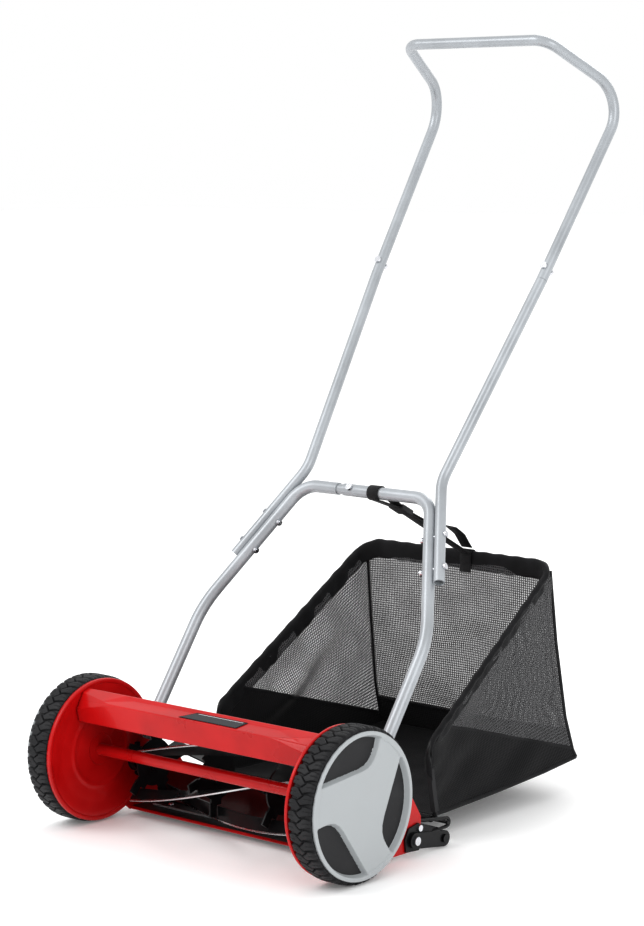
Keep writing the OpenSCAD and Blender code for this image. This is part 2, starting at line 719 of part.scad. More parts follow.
// The corners of the fabric on the right side: hook, front, rear top and rear bottom.
bag_outer = [
    [bag_half_front - 5, hook_y + 9, hook_z + 8],
    [bag_half_front - 5, bag_front_y + 6, bag_front_z - 1],
    [bag_half_rear - bag_clear - 2, bag_top_y - 4, bag_top_z - 6],
    [bag_half_rear + 12, hook_y + bag_len, bag_rear_z]
];
side_in = [fabric_t, 0, 0];
bag_inner = [
    bag_outer[0] - side_in + [0, 0, fabric_t] + unit(bag_outer[0] - bag_outer[3]) * 30,
    bag_outer[1] - side_in + unit(bag_outer[1] - bag_outer[0]) * 40 - [0, 30, 0],
    bag_outer[2] - side_in - [0, fabric_t, 0] + unit(bag_outer[2] - bag_outer[3]) * 40,
    bag_outer[3] - side_in + [0, -fabric_t, fabric_t]
];
module bag_block(c) hull() polyhedron(
    [each c, for (q = c) flip_x * q],
    [
        [0, 1, 2], [0, 2, 3], [4, 6, 5], [4, 7, 6], [0, 4, 5], [0, 5, 1],
        [1, 5, 6], [1, 6, 2], [2, 6, 7], [2, 7, 3], [3, 7, 4], [3, 4, 0]
    ]
);
module bag_shell() color([0.25, 0.25, 0.25]) difference() {
    bag_block(bag_outer);
    bag_block(bag_inner);
}

// ---- strap ----

strap_a = on_handle(0, crossbar_at);
strap_b = [0, bag_top_y, bag_top_z];
strap_dir = unit([0, strap_b[1] - strap_a[1], strap_b[2] - strap_a[2]]);
strap_len = norm(strap_b - strap_a);
strap_end_r = bag_wire_d / 2 + 1.2;

// Places a flat outline so that its X runs from the cross bar to the bag wire, w thick across the mower.
module strap_place(x, w)
    multmatrix(column_matrix(
        [0, strap_dir[1], strap_dir[2]], [0, -strap_dir[2], strap_dir[1]], [1, 0, 0],
        [x, strap_a[1], strap_a[2]]
    )) linear_extrude(w) children();

function round_about(c, r, from, to) = [for (a = [from:10:to]) [c + r * cos(a), r * sin(a)]];
module strap() color([0.1, 0.1, 0.1]) strap_place(strap_x - strap_w / 2, strap_w) difference() {
    polygon([
        each round_about(0, strap_loop_r + strap_t, 60, 300), [buckle_at, -strap_t],
        each round_about(strap_len, strap_end_r + strap_t, -160, 160), [buckle_at, strap_t]
    ]);
    polygon([each round_about(0, strap_loop_r, 60, 300), [buckle_at - 6, 0]]);
    polygon(round_about(strap_len, strap_end_r, 0, 350));
}

buckle_wall = 2.8;
module strap_buckle() color([0.2, 0.2, 0.2]) {
    half = strap_w / 2 + 0.3 + buckle_wall;
    for (s = [-1, 1]) strap_place(strap_x - half, 2 * half)
        translate([buckle_at + 2, s * (strap_t + 0.2) - (s > 0 ? 0 : 2)]) square([26, 2]);
    for (x = [strap_x - half, strap_x + half - buckle_wall]) strap_place(x, buckle_wall)
        translate([buckle_at + 2, -strap_t - 2.2]) square([26, 2 * strap_t + 4.4]);
}

// ---- the assembly ----

mirrored() side_plate();  // side_plate_left
side_plate();  // side_plate_right
top_cover();
cover_label();
cover_screws();
cross_tube();
axle_rod();
axle_clips();
cutter_bar();
bed_knife();
knife_screws();
mirrored() bearing_housing();  // bearing_housing_left
bearing_housing();  // bearing_housing_right
mirrored() reel_bearing();  // reel_bearing_left
reel_bearing();  // reel_bearing_right
mirrored() handle_pin();  // handle_pin_left
handle_pin();  // handle_pin_right
handle_stops();
mirrored() height_bracket();  // height_bracket_left
height_bracket();  // height_bracket_right
bag_hooks();
mirrored() wheel();  // wheel_left
wheel();  // wheel_right
mirrored() tyre();  // tyre_left
tyre();  // tyre_right
mirrored() hub_cover();  // hub_cover_left
hub_cover();  // hub_cover_right
mirrored() wheel_bush();  // wheel_bush_left
wheel_bush();  // wheel_bush_right
reel_shaft();
spider(0);  // spider_1
spider(1);  // spider_2
spider(2);  // spider_3
spider(3);  // spider_4
reel_blade(0);  // reel_blade_1
reel_blade(1);  // reel_blade_2
reel_blade(2);  // reel_blade_3
reel_blade(3);  // reel_blade_4
reel_blade(4);  // reel_blade_5
mirrored() pinion();  // pinion_left
pinion();  // pinion_right
mirrored() pawl();  // pawl_left
pawl();  // pawl_right
mirrored() height_arm();  // height_arm_left
height_arm();  // height_arm_right
height_screws();
roller();
roller_shaft();
lower_tube_left();
lower_tube_right();
mirrored() mid_tube();  // mid_tube_left
mid_tube();  // mid_tube_right
top_loop();
brace_bolts();
joint_screws();
bag_frame();
bag_channels();
bag_shell();
strap();
strap_buckle();
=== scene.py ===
# %% [markdown]
# # A push reel mower
# This lesson dresses the finished CAD model of a push reel mower. The CAD model gives every
# hard part its place; here each part gets its finish, and the soft or moulded parts (bag,
# strap, tyres, blades, sheet cover) are drawn again as surfaces computed with numpy.

# %% Load the frame
import math

import bmesh
import bpy
import numpy as np
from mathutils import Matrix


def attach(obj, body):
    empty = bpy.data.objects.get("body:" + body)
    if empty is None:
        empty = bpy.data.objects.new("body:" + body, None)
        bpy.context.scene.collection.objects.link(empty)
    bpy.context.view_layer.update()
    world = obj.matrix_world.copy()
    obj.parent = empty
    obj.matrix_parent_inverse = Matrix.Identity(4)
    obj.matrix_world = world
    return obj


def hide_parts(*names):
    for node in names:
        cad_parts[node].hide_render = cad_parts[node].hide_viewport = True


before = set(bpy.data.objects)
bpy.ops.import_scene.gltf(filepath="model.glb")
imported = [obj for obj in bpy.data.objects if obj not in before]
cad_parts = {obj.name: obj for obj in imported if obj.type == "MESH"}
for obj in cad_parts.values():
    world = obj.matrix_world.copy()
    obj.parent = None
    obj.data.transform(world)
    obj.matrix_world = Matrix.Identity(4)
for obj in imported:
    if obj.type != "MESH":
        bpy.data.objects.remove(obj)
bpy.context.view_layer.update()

MM = 0.001


def add_object(name, data):
    """Makes an object from a mesh, a camera or a lamp and puts it in the scene."""
    made = bpy.data.objects.new(name, data)
    bpy.context.scene.collection.objects.link(made)
    return made


# %% [markdown]
# ## The camera
# The camera looks down a little, from the front right corner. It is placed first, because
# every later choice of detail depends on what is seen. A long lens keeps the handle straight.

# %% Camera
CAMERA_PLACE = (2.3719, -2.4760, 0.9481)
CAMERA_TURN = 41.304
CAMERA_DIP = 6.895
LENS = 99.43

camera_data = bpy.data.cameras.new("camera")
camera_data.lens = LENS
camera_data.sensor_width = 36
camera = add_object("camera", camera_data)
camera.location = CAMERA_PLACE
camera.rotation_euler = (math.radians(90 - CAMERA_DIP), 0, math.radians(CAMERA_TURN))
bpy.context.scene.camera = camera
bpy.context.scene.view_settings.view_transform = "Standard"
bpy.context.scene.view_settings.gamma = 0.8
print("camera at", CAMERA_PLACE)

# %% [markdown]
# ## Floor and light
# Painted sheet metal shows its shape by what it reflects. One big soft lamp above and to
# the left, a weaker one on the right and an even pale sky give broad, calm highlights.

# %% Stage
def area_lamp(name, place, target, size, power):
    """A square lamp of the given size in metres at place, turned to face target."""
    lamp = bpy.data.lights.new(name, "AREA")
    lamp.size = size
    lamp.energy = power
    lamp_object = add_object(name, lamp)
    lamp_object.location = place
    aim = np.subtract(target, place)
    flat = math.hypot(aim[0], aim[1])
    lamp_object.rotation_euler = (math.atan2(flat, -aim[2]), 0, math.atan2(-aim[0], aim[1]))


area_lamp("key_lamp", (-1.6, -2.4, 3.2), (0, 0.1, 0.4), 2.2, 60)
area_lamp("side_lamp", (3.2, -0.6, 1.8), (0, 0.2, 0.4), 1.8, 26)
area_lamp("back_lamp", (-0.6, 3.2, 2.6), (0, 0.3, 0.5), 2.0, 34)

sky = bpy.data.worlds.new("studio")
bpy.context.scene.world = sky
sky.use_nodes = True
sky.node_tree.nodes["Background"].inputs["Color"].default_value = (1, 1, 1, 1)
sky.node_tree.nodes["Background"].inputs["Strength"].default_value = 1.0

FLOOR_HALF = 30.0
floor_mesh = bpy.data.meshes.new("floor")
floor_mesh.from_pydata([(x * FLOOR_HALF, y * FLOOR_HALF, 0)
                        for x, y in ((-1, -1), (1, -1), (1, 1), (-1, 1))], [], [(0, 1, 2, 3)])
floor = add_object("floor", floor_mesh)
print("stage ready")

# %% [markdown]
# ## Small tools for materials
# Every finish starts from Blender's Principled shader. Two helpers keep the cells short:
# one adds a node and fills or links its sockets, the other makes the material itself.

# %% Material tools
def node(mat, kind, inputs=(), **settings):
    """Adds a node to a material; inputs maps a socket's name or number to a value or an output."""
    made = mat.node_tree.nodes.new("ShaderNode" + kind)
    for key, value in settings.items():
        setattr(made, key, value)
    for key, value in dict(inputs).items():
        if isinstance(value, bpy.types.NodeSocket):
            mat.node_tree.links.new(value, made.inputs[key])
        else:
            made.inputs[key].default_value = value
    return made


def finish(name, **sockets):
    """A Principled material; sockets are its constant values, with _ for a space."""
    mat = bpy.data.materials.new(name)
    mat.use_nodes = True
    shader = mat.node_tree.nodes["Principled BSDF"]
    for key, value in sockets.items():
        shader.inputs[key.replace("_", " ")].default_value = value
    return mat


def drive(mat, socket, output):
    """Links an output to one socket of the material's shader."""
    shader = mat.node_tree.nodes["Principled BSDF"]
    mat.node_tree.links.new(output, shader.inputs[socket])


def coords(mat, kind="Object"):
    return node(mat, "TexCoord").outputs[kind]


def axes(mat, kind="Object"):
    """The x, y and z of a point, as three outputs."""
    return node(mat, "SeparateXYZ", {0: coords(mat, kind)}).outputs


def noise(mat, where, scale, detail=3.0):
    """Cloudy noise; scale is in cells per metre."""
    made = node(mat, "TexNoise", {"Vector": where, "Scale": scale, "Detail": detail})
    return made.outputs["Fac"]


def spread(mat, value, low, high, out_low, out_high):
    """Maps low..high to out_low..out_high, clamped."""
    made = node(mat, "MapRange", {0: value, 1: low, 2: high, 3: out_low, 4: out_high})
    return made.outputs[0]


def mix(mat, factor, first, second):
    """Mixes two colours by a factor."""
    made = node(mat, "Mix", {0: factor, 6: first, 7: second}, data_type="RGBA")
    return made.outputs[2]


def reckon(mat, what, *values):
    """A Math node."""
    return node(mat, "Math", dict(enumerate(values)), operation=what).outputs[0]


def relief(mat, height, depth):
    """Sends a height pattern to the shader's normal; depth is in metres."""
    made = node(mat, "Bump", {"Height": height, "Distance": depth, "Strength": 1.0})
    drive(mat, "Normal", made.outputs["Normal"])


def rgb(red, green, blue):
    return (red, green, blue, 1.0)


def shade(colour, factor, lift=0.0):
    """A lighter or darker colour: each part is c * factor + lift, at most 1."""
    return rgb(*[min(1.0, c * factor + lift) for c in colour])


floor_paint = finish("floor_paint", Base_Color=rgb(0.93, 0.93, 0.93), Roughness=0.75,
                     Emission_Color=rgb(1, 1, 1), Emission_Strength=0.12)
floor_grain = noise(floor_paint, coords(floor_paint), 3.0)
drive(floor_paint, "Roughness", spread(floor_paint, floor_grain, 0.3, 0.7, 0.7, 0.8))
floor_mesh.materials.append(floor_paint)
print("tools ready")

# %% [markdown]
# ## Painted metal
# The deck has a thick glossy powder coat. Powder coat is never quite flat: it has a soft
# ripple called orange peel, and the gloss varies a little. The same recipe in grey with a
# fine flake is the handle's paint, and in black, thinner, the small brackets.

# %% Paints
def painted(name, colour, rough, coat, peel, metal=0.0, flake=0.0):
    """Powder coat: base colour with slow tone changes, orange peel and uneven gloss."""
    mat = finish(name, Base_Color=rgb(*colour), Roughness=rough, Metallic=metal,
                 Coat_Weight=coat, Coat_Roughness=0.08, Specular_IOR_Level=0.3)
    where = coords(mat)
    cloud = noise(mat, where, 14.0, 4.0)
    grain = noise(mat, where, 2600.0, 1.0)
    tone = mix(mat, spread(mat, cloud, 0.35, 0.65, 0.0, 1.0), shade(colour, 0.90),
               shade(colour, 1.10, 0.004))
    if flake:
        fleck = spread(mat, grain, 0.45, 0.75, 0.0, flake)
        tone = mix(mat, fleck, tone, shade(colour, 1.6, 0.05))
    drive(mat, "Base Color", tone)
    drive(mat, "Roughness", spread(mat, cloud, 0.3, 0.7, rough * 0.85, rough * 1.2))
    relief(mat, noise(mat, where, 420.0, 2.0), peel)
    return mat


red_enamel = painted("red_enamel", (0.50, 0.003, 0.004), 0.30, 0.25, 0.00006)
handle_grey = painted("handle_grey", (0.40, 0.42, 0.44), 0.36, 0.25, 0.00002, 0.35, 0.2)
BAR_FRONT_Y, KNIFE_FRONT_Y = 57.4 * MM, 80.4 * MM


def two_tone(name, colour, front_colour, split_y, rough):
    """Coat whose front strip, up to split_y, has another colour."""
    mat = painted(name, colour, rough, 0.15, 0.00006)
    shader = mat.node_tree.nodes["Principled BSDF"]
    tone = shader.inputs["Base Color"].links[0].from_socket
    front = spread(mat, axes(mat)[1], split_y - 0.2 * MM, split_y + 0.2 * MM, 1.0, 0.0)
    drive(mat, "Base Color", mix(mat, front, tone, rgb(*front_colour)))
    return mat


# Painted shade: the cutter bar is red, but its top is coated near-black for the shade under the
# knife and reel; only its front strip keeps the red.
bar_painted_shade = two_tone("bar_painted_shade", (0.008, 0.007, 0.007), (0.50, 0.004, 0.005),
                    BAR_FRONT_Y + 3 * MM, 0.34)
knife_coat = two_tone("knife_coat", (0.010, 0.010, 0.011), (0.55, 0.55, 0.56),
                      KNIFE_FRONT_Y + 3.4 * MM, 0.3)
black_coat = painted("black_coat", (0.006, 0.006, 0.007), 0.34, 0.15, 0.00006)
print("paints ready")

# %% [markdown]
# ## Bare metal
# Turned rods carry fine rings from the lathe and ground plates fine straight lines. Both
# are stretched noise: long in one direction and thin in the other. Zinc plate is brighter
# and has faint clouds.

# %% Metals
def bare_metal(name, colour, rough, along, line_scale=2500.0):
    """Metal with tool marks: noise squeezed to lines that run along the given axis (0, 1 or 2)."""
    mat = finish(name, Base_Color=rgb(*colour), Roughness=rough, Metallic=1.0)
    stretch = [line_scale] * 3
    stretch[along] = line_scale / 60
    lines = node(mat, "Mapping", {"Vector": coords(mat), "Scale": stretch}).outputs[0]
    marks = noise(mat, lines, 1.0, 2.0)
    cloud = noise(mat, coords(mat), 60.0, 3.0)
    drive(mat, "Roughness", spread(mat, cloud, 0.3, 0.7, rough * 0.8, rough * 1.35))
    drive(mat, "Base Color", mix(mat, spread(mat, marks, 0.3, 0.7, 0.0, 1.0),
                                 shade(colour, 0.86), rgb(*colour)))
    relief(mat, marks, 0.00002)
    return mat


ground_steel = bare_metal("ground_steel", (0.56, 0.56, 0.57), 0.30, 0)
zinc_plate = bare_metal("zinc_plate", (0.78, 0.79, 0.82), 0.20, 2, 900.0)
print("metals ready")

# %% [markdown]
# ## Moulded plastic and rubber
# Moulded parts have the texture of their mould: a fine even grain. Rubber is rougher and
# picks up dust in its hollows, which shows as pale clouds.

# %% Plastics
def moulded(name, colour, rough, grain_depth, dust=0.0, grain_scale=1500.0):
    """Moulded plastic or rubber: mould grain as relief, with dust as pale clouds."""
    mat = finish(name, Base_Color=rgb(*colour), Roughness=rough, Specular_IOR_Level=0.35)
    where = coords(mat)
    grain = noise(mat, where, grain_scale, 2.0)
    cloud = noise(mat, where, 30.0, 4.0)
    drive(mat, "Base Color", mix(mat, spread(mat, cloud, 0.45, 0.8, 0.0, dust),
                                 rgb(*colour), shade(colour, 1.0, 0.05)))
    drive(mat, "Roughness", spread(mat, grain, 0.3, 0.7, rough * 0.9, min(1.0, rough * 1.15)))
    relief(mat, grain, grain_depth)
    return mat


wheel_plastic = moulded("wheel_plastic", (0.028, 0.028, 0.030), 0.55, 0.00005, 0.2)
silver_plastic = moulded("silver_plastic", (0.42, 0.44, 0.45), 0.34, 0.00002, 0.1)
tyre_rubber = moulded("tyre_rubber", (0.016, 0.016, 0.018), 0.50, 0.00008, 0.3)
nylon = moulded("nylon", (0.62, 0.58, 0.48), 0.45, 0.00003)
label_foil = moulded("label_foil", (0.018, 0.020, 0.026), 0.22, 0.00001)
print("plastics ready")

# %% [markdown]
# ## Cloth
# The bag has two cloths: an open mesh, which lets the air out, and a close black weave for
# the floor, the lower sides and the hem. Both follow the sheet, so their threads are laid
# out on its UV map, which is in metres. The mesh has real holes: its alpha drops to almost
# nothing between the threads.

# %% Cloths
def threads(mat, pitch):
    """Two thread profiles, 1 on a thread's middle and 0 between threads, pitch in metres."""
    split = axes(mat, "UV")
    waves = []
    for axis in (0, 1):
        turns = reckon(mat, "MULTIPLY", split[axis], math.pi / pitch)
        waves.append(reckon(mat, "ABSOLUTE", reckon(mat, "SINE", turns)))
    return waves


SEAM_FRONT_Y, SEAM_FRONT_Z = 284 * MM, 151 * MM
SEAM_REAR_Y, SEAM_REAR_Z = 559 * MM, 73 * MM
SEAM_FALL = (SEAM_FRONT_Z - SEAM_REAR_Z) / (SEAM_REAR_Y - SEAM_FRONT_Y)
REAR_SEAM_Z = 95 * MM
NET_PITCH = 3.6 * MM


def net_cloth(name, solid_below):
    """Open mesh cloth above a seam and close weave below it.

    solid_below(mat) gives an output that is 1 where the cloth is closely woven."""
    mat = finish(name, Base_Color=rgb(0.02, 0.02, 0.021), Roughness=0.75,
                 Sheen_Weight=0.12, Sheen_Roughness=0.5, Specular_IOR_Level=0.2)
    warp, weft = threads(mat, NET_PITCH)
    thread = reckon(mat, "MAXIMUM", spread(mat, warp, 0.80, 0.90, 0.0, 1.0),
                    spread(mat, weft, 0.80, 0.90, 0.0, 1.0))
    cloud = noise(mat, coords(mat), 22.0, 3.0)
    solid = solid_below(mat)
    gaps = spread(mat, cloud, 0.3, 0.7, 0.28, 0.40)
    alpha = reckon(mat, "MAXIMUM", reckon(mat, "MAXIMUM", thread, gaps), solid)
    drive(mat, "Alpha", alpha)
    tone = mix(mat, solid, rgb(0.095, 0.095, 0.098), rgb(0.006, 0.006, 0.007))
    drive(mat, "Base Color", tone)
    relief(mat, reckon(mat, "ADD", warp, weft), 0.00025)
    return mat


def below_side_seam(mat):
    """1 below a line that falls towards the rear: z < front z - fall (y - front y)."""
    split = axes(mat)
    run = reckon(mat, "SUBTRACT", split[1], SEAM_FRONT_Y)
    seam = reckon(mat, "SUBTRACT", SEAM_FRONT_Z, reckon(mat, "MULTIPLY", run, SEAM_FALL))
    return reckon(mat, "LESS_THAN", split[2], seam)


def below_rear_seam(mat):
    """1 below a level line."""
    return reckon(mat, "LESS_THAN", axes(mat)[2], REAR_SEAM_Z)


side_cloth = net_cloth("side_cloth", below_side_seam)
rear_cloth = net_cloth("rear_cloth", below_rear_seam)


def close_cloth(name, colour, pitch, depth, rough):
    """A close weave: over and under threads as relief, with a soft sheen."""
    mat = finish(name, Base_Color=rgb(*colour), Roughness=rough,
                 Sheen_Weight=0.08, Sheen_Roughness=0.45, Specular_IOR_Level=0.25)
    warp, weft = threads(mat, pitch)
    cloud = noise(mat, coords(mat), 40.0, 3.0)
    weave = reckon(mat, "MULTIPLY", warp, weft)
    drive(mat, "Base Color", mix(mat, spread(mat, cloud, 0.3, 0.7, 0.0, 1.0),
                                 rgb(*colour), shade(colour, 1.7, 0.003)))
    drive(mat, "Roughness", spread(mat, weave, 0.0, 1.0, rough, rough * 0.85))
    relief(mat, weave, depth)
    return mat


black_nylon = close_cloth("black_nylon", (0.006, 0.006, 0.007), 0.0012, 0.00012, 0.7)
webbing = close_cloth("webbing", (0.012, 0.012, 0.013), 0.0024, 0.0004, 0.65)
print("cloths ready")

# %% [markdown]
# ## Finishes on the CAD nodes
# A node whose shape is right stays as it is and only takes a material. The list below goes
# through the mower by finish; nodes that get a new surface later are in it too, so nothing
# is left without one.

# %% Finish the nodes
def both(*stems):
    """The names of pieces that the mower has on its left and on its right."""
    return [f"{stem}_{side}" for stem in stems for side in ("left", "right")]


NODE_FINISH = {
    red_enamel: both("side_plate") + ["top_cover", "cross_tube"],
    bar_painted_shade: ["cutter_bar"],
    knife_coat: ["bed_knife"],
    handle_grey: both("lower_tube", "mid_tube") + ["top_loop"],
    black_coat: both("height_bracket", "height_arm", "bearing_housing")
                + ["bag_hooks", "bag_frame", "roller_shaft"]
                + [f"spider_{k}" for k in range(1, 5)] + [f"reel_blade_{k}" for k in range(1, 6)],
    ground_steel: both("pinion", "pawl", "reel_bearing") + ["axle_rod", "reel_shaft"],
    zinc_plate: both("handle_pin") + ["cover_screws", "axle_clips", "knife_screws",
                                      "handle_stops", "height_screws", "brace_bolts",
                                      "joint_screws"],
    wheel_plastic: both("wheel") + ["roller", "bag_channels", "strap_buckle"],
    silver_plastic: both("hub_cover"),
    tyre_rubber: both("tyre"),
    nylon: both("wheel_bush"),
    black_nylon: ["bag_shell"],
    webbing: ["strap"],
    label_foil: ["cover_label"],
}
for look, names in NODE_FINISH.items():
    for name in names:
        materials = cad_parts[name].data.materials
        for slot in range(len(materials)):
            materials[slot] = look
        if not len(materials):
            materials.append(look)
print("finished", sum(map(len, NODE_FINISH.values())), "nodes")

# %% [markdown]
# ## Small tools for surfaces
# A surface is a grid of points, so one helper turns any such grid into a mesh. Where two
# edges of the grid meet, as on a tube or a ring, the double points are merged and the
# faces are turned outwards.

# %% Surface tools
def surface(name, points, look, uv=None, closed=False, smooth=True):
    """Makes an object from a grid of points, shape (rows, columns, 3), in metres.

    A closed grid has its double points merged and its faces turned outwards."""
    rows, columns = points.shape[:2]
    corner = (np.arange(rows - 1)[:, None] * columns + np.arange(columns - 1)).ravel()
    faces = np.stack([corner, corner + 1, corner + columns + 1, corner + columns], axis=1)
    mesh = bpy.data.meshes.new(name)
    mesh.from_pydata(points.reshape(-1, 3).tolist(), [], faces.tolist())
    if uv is not None:
        layer = mesh.uv_layers.new(name="UVMap")
        layer.data.foreach_set("uv", uv.reshape(-1, 2)[faces.ravel()].ravel())
    if closed:
        shell = bmesh.new()
        shell.from_mesh(mesh)
        bmesh.ops.remove_doubles(shell, verts=shell.verts, dist=1e-6)
        bmesh.ops.recalc_face_normals(shell, faces=shell.faces)
        shell.to_mesh(mesh)
        shell.free()
    mesh.polygons.foreach_set("use_smooth", [smooth] * len(mesh.polygons))
    mesh.materials.append(look)
    made = add_object(name, mesh)
    print(name, len(mesh.polygons), "faces")
    return made


def ends_closed(points):
    """Adds a row at each end of a swept grid, shrunk to the row's middle, which caps it."""
    first = np.broadcast_to(points[:1].mean(axis=1, keepdims=True), points[:1].shape)
    last = np.broadcast_to(points[-1:].mean(axis=1, keepdims=True), points[-1:].shape)
    return np.concatenate([first, points, last])


def swept(path, side, up, profile):
    """Carries a closed profile of (side, up) offsets along a path: path + a*side + b*up."""
    side, up = np.broadcast_to(side, path.shape), np.broadcast_to(up, path.shape)
    ring = np.concatenate([profile, profile[:1]])
    grid = path[:, None] + ring[None, :, :1] * side[:, None] + ring[None, :, 1:] * up[:, None]
    return ends_closed(grid)


def lathe(radius, across, turns):
    """Turns a closed profile about the axle: (x, y, z) = (x, r cos a, axle + r sin a)."""
    angle = np.linspace(0, 2 * np.pi, turns + 1)[:, None]
    radius, across = np.append(radius, radius[0]), np.append(across, across[0])
    return np.stack([np.broadcast_to(across, (turns + 1, len(across))),
                     radius * np.cos(angle), AXLE_Z + radius * np.sin(angle)], axis=-1)


def smoothed(points, passes):
    """Rounds a line of points by averaging each point with its neighbours."""
    points = points.copy()
    for _ in range(passes):
        points[1:-1] = (points[:-2] + 2 * points[1:-1] + points[2:]) / 4
    return points


def even_line(points, count):
    """The same line with count points at even distances along it."""
    points = np.asarray(points, float)
    gone = length_along(points)
    at = np.linspace(0, gone[-1], count)
    return np.stack([np.interp(at, gone, points[:, k]) for k in range(points.shape[1])], axis=1)


def unit(vectors):
    return vectors / np.linalg.norm(vectors, axis=-1, keepdims=True)


def ramp(value, low, high):
    """0 below low, 1 above high, a soft S between."""
    t = np.clip((value - low) / (high - low), 0, 1)
    return t * t * (3 - 2 * t)


def on_side(points, sign):
    """Points drawn for the right side as they are for sign +1, and mirrored for sign -1."""
    return points * np.array([sign, 1.0, 1.0])


def length_along(points):
    """The length gone at each point of a line, starting from 0."""
    return np.append(0, np.cumsum(np.linalg.norm(np.diff(points, axis=0), axis=1)))


def face_centres(made):
    """The middles of an object's faces, shape (faces, 3)."""
    centres = np.empty(len(made.data.polygons) * 3)
    made.data.polygons.foreach_get("center", centres)
    return centres.reshape(-1, 3)


X, Y, Z = np.eye(3)
AXLE_Z = 105 * MM
SIDES = (("left", -1), ("right", 1))

# %% [markdown]
# ## Tyres
# A mower tyre is a hard rubber ring. Its tread is what grips the grass to turn the blades:
# a zigzag groove round the middle, and curved cross grooves that widen on the shoulders and
# alternate from side to side. The tyre is one closed surface of revolution whose radius also
# depends on the angle, so the grooves are real.

# %% Tyres
TYRE_X0, TYRE_X1 = 228 * MM, 266 * MM
TYRE_R, TREAD_DEPTH, BEAD_R = 104.9 * MM, 3.6 * MM, 94.1 * MM
SHOULDER_DROP = 2.4 * MM
LUGS = 42


def tread(angle, across):
    """Groove depth share, 0 on a lug and 1 in a groove.

    angle is in lug pitches and across runs from -1 to 1 over the tyre. A zigzag groove runs
    round the middle, at 0.26 * triangle(angle). From its corners, cross grooves lead out to
    the shoulders and widen there; those of one side lie half a pitch from the other's."""
    zigzag = 0.26 * (4 * np.abs(angle % 1 - 0.5) - 1)
    middle = 1 - ramp(np.abs(across - zigzag), 0.03, 0.10)
    half = np.where(across > zigzag, 0.5, 0.0)
    out = np.abs(across)
    bent = angle + half + 0.22 * out + 0.10 * np.sin(np.pi * out)
    wide = 0.05 + 0.11 * out ** 3
    cross_groove = 1 - ramp(np.abs(bent % 1 - 0.5), wide, wide + 0.08)
    sipe = np.exp(-((np.abs((bent + 0.5) % 1 - 0.5)) / 0.03) ** 2)
    fine_cut = 0.45 * sipe * ramp(out, 0.35, 0.5)
    return np.clip(np.maximum(np.maximum(middle, cross_groove), fine_cut), 0, 1)


def tyre_points(sign):
    """A closed ring: up the inner wall, over the tread, down the outer wall and back."""
    turns, steps, wall_steps, wall_bulge = 1080, 47, 4, 0.03
    wall_up = np.linspace(BEAD_R, 98 * MM, wall_steps)
    share = np.linspace(-1, 1, steps)
    crown = TYRE_R - SHOULDER_DROP * np.abs(share) ** 7
    radius = np.concatenate([wall_up, crown, wall_up[::-1]])
    across = np.concatenate([np.full(wall_steps, -1.0), share, np.full(wall_steps, 1.0)])
    half = (TYRE_X1 - TYRE_X0) / 2
    bulge = np.linspace(0, wall_bulge, wall_steps)
    bulge = np.concatenate([bulge, np.zeros(steps), bulge[::-1]])
    x = (TYRE_X0 + TYRE_X1) / 2 + half * across * (1 - wall_bulge + bulge * 0.9)
    radius, x = np.append(radius, radius[0]), np.append(x, x[0])
    across = np.append(across, across[0])
    angle = np.linspace(0, 2 * np.pi, turns + 1)[:, None]
    depth = tread(angle * LUGS / (2 * np.pi), across[None, :])
    top = ramp(radius, 97.5 * MM, 99.5 * MM)[None, :]
    r = radius[None, :] - TREAD_DEPTH * depth * top
    points = np.stack([np.broadcast_to(x, r.shape), r * np.cos(angle),
                       AXLE_Z + r * np.sin(angle)], axis=-1)
    return on_side(points, sign)


for side_name, sign in SIDES:
    tyre = surface(f"tread_{side_name}", tyre_points(sign), tyre_rubber, closed=True)
    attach(tyre, f"wheel_{side_name}")
    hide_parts(f"tyre_{side_name}")

# %% [markdown]
# ## Hub covers
# The silver cover clips over the wheel: a raised ring, three broad spokes, and windows with
# sloped walls that go down to dark panels. A bevel could not give walls as wide as these,
# so the cover is a height field on a polar grid: the height falls where a point is inside
# a window, by its distance from the window's outline.

# %% Windows
HUB_R, WINDOW_R = 98.9 * MM, 92 * MM
WINDOW_LINE = [(-37, 45), (-3, 48.5), (8, 51), (16, 55.5), (22, 62), (27, 71)]


def window_outline():
    """The window's corners: an arc of the rim from 154 down to 69 degrees, then inner edges."""
    angle = np.radians(np.linspace(154, 69, 18))
    arc = WINDOW_R * np.stack([np.cos(angle), np.sin(angle)], axis=1)
    return np.concatenate([arc, np.array(WINDOW_LINE[::-1]) * MM])


def depth_inside(points, outline):
    """Distance from each point to a closed outline, positive inside and negative outside.

    The distance to an edge is the distance to the nearest point of it; a point is inside
    when a ray from it crosses the edges an odd number of times."""
    nearest = np.full(points.shape[:-1], np.inf)
    inside = np.zeros(points.shape[:-1], bool)
    for a, b in zip(outline, np.roll(outline, -1, axis=0)):
        edge = b - a
        share = np.clip(((points - a) @ edge) / (edge @ edge), 0, 1)
        gap = points - a - share[..., None] * edge
        nearest = np.minimum(nearest, np.hypot(gap[..., 0], gap[..., 1]))
        crosses = (a[1] > points[..., 1]) != (b[1] > points[..., 1])
        reach = a[0] + (points[..., 1] - a[1]) * edge[0] / (edge[1] if edge[1] else 1e-9)
        inside ^= crosses & (points[..., 0] < reach)
    return np.where(inside, nearest, -nearest)


def in_windows(points):
    """The greatest depth inside any of the three windows, a third of a turn apart."""
    deepest = np.full(points.shape[:-1], -1.0)
    for k in range(3):
        turn = math.radians(-120 * k)
        spin = np.array([[math.cos(turn), math.sin(turn)], [-math.sin(turn), math.cos(turn)]])
        deepest = np.maximum(deepest, depth_inside(points, window_outline() @ spin))
    return deepest


print("window has", len(window_outline()), "corners")

# %% Hub covers
SPOKE_X, RING_X, PANEL_X, HUB_BACK_X = 268.5 * MM, 269.95 * MM, 261.6 * MM, 260.4 * MM
FLANGE_X, FLANGE_R, HUB_ROUND = 266.35 * MM, 93 * MM, 0.9 * MM


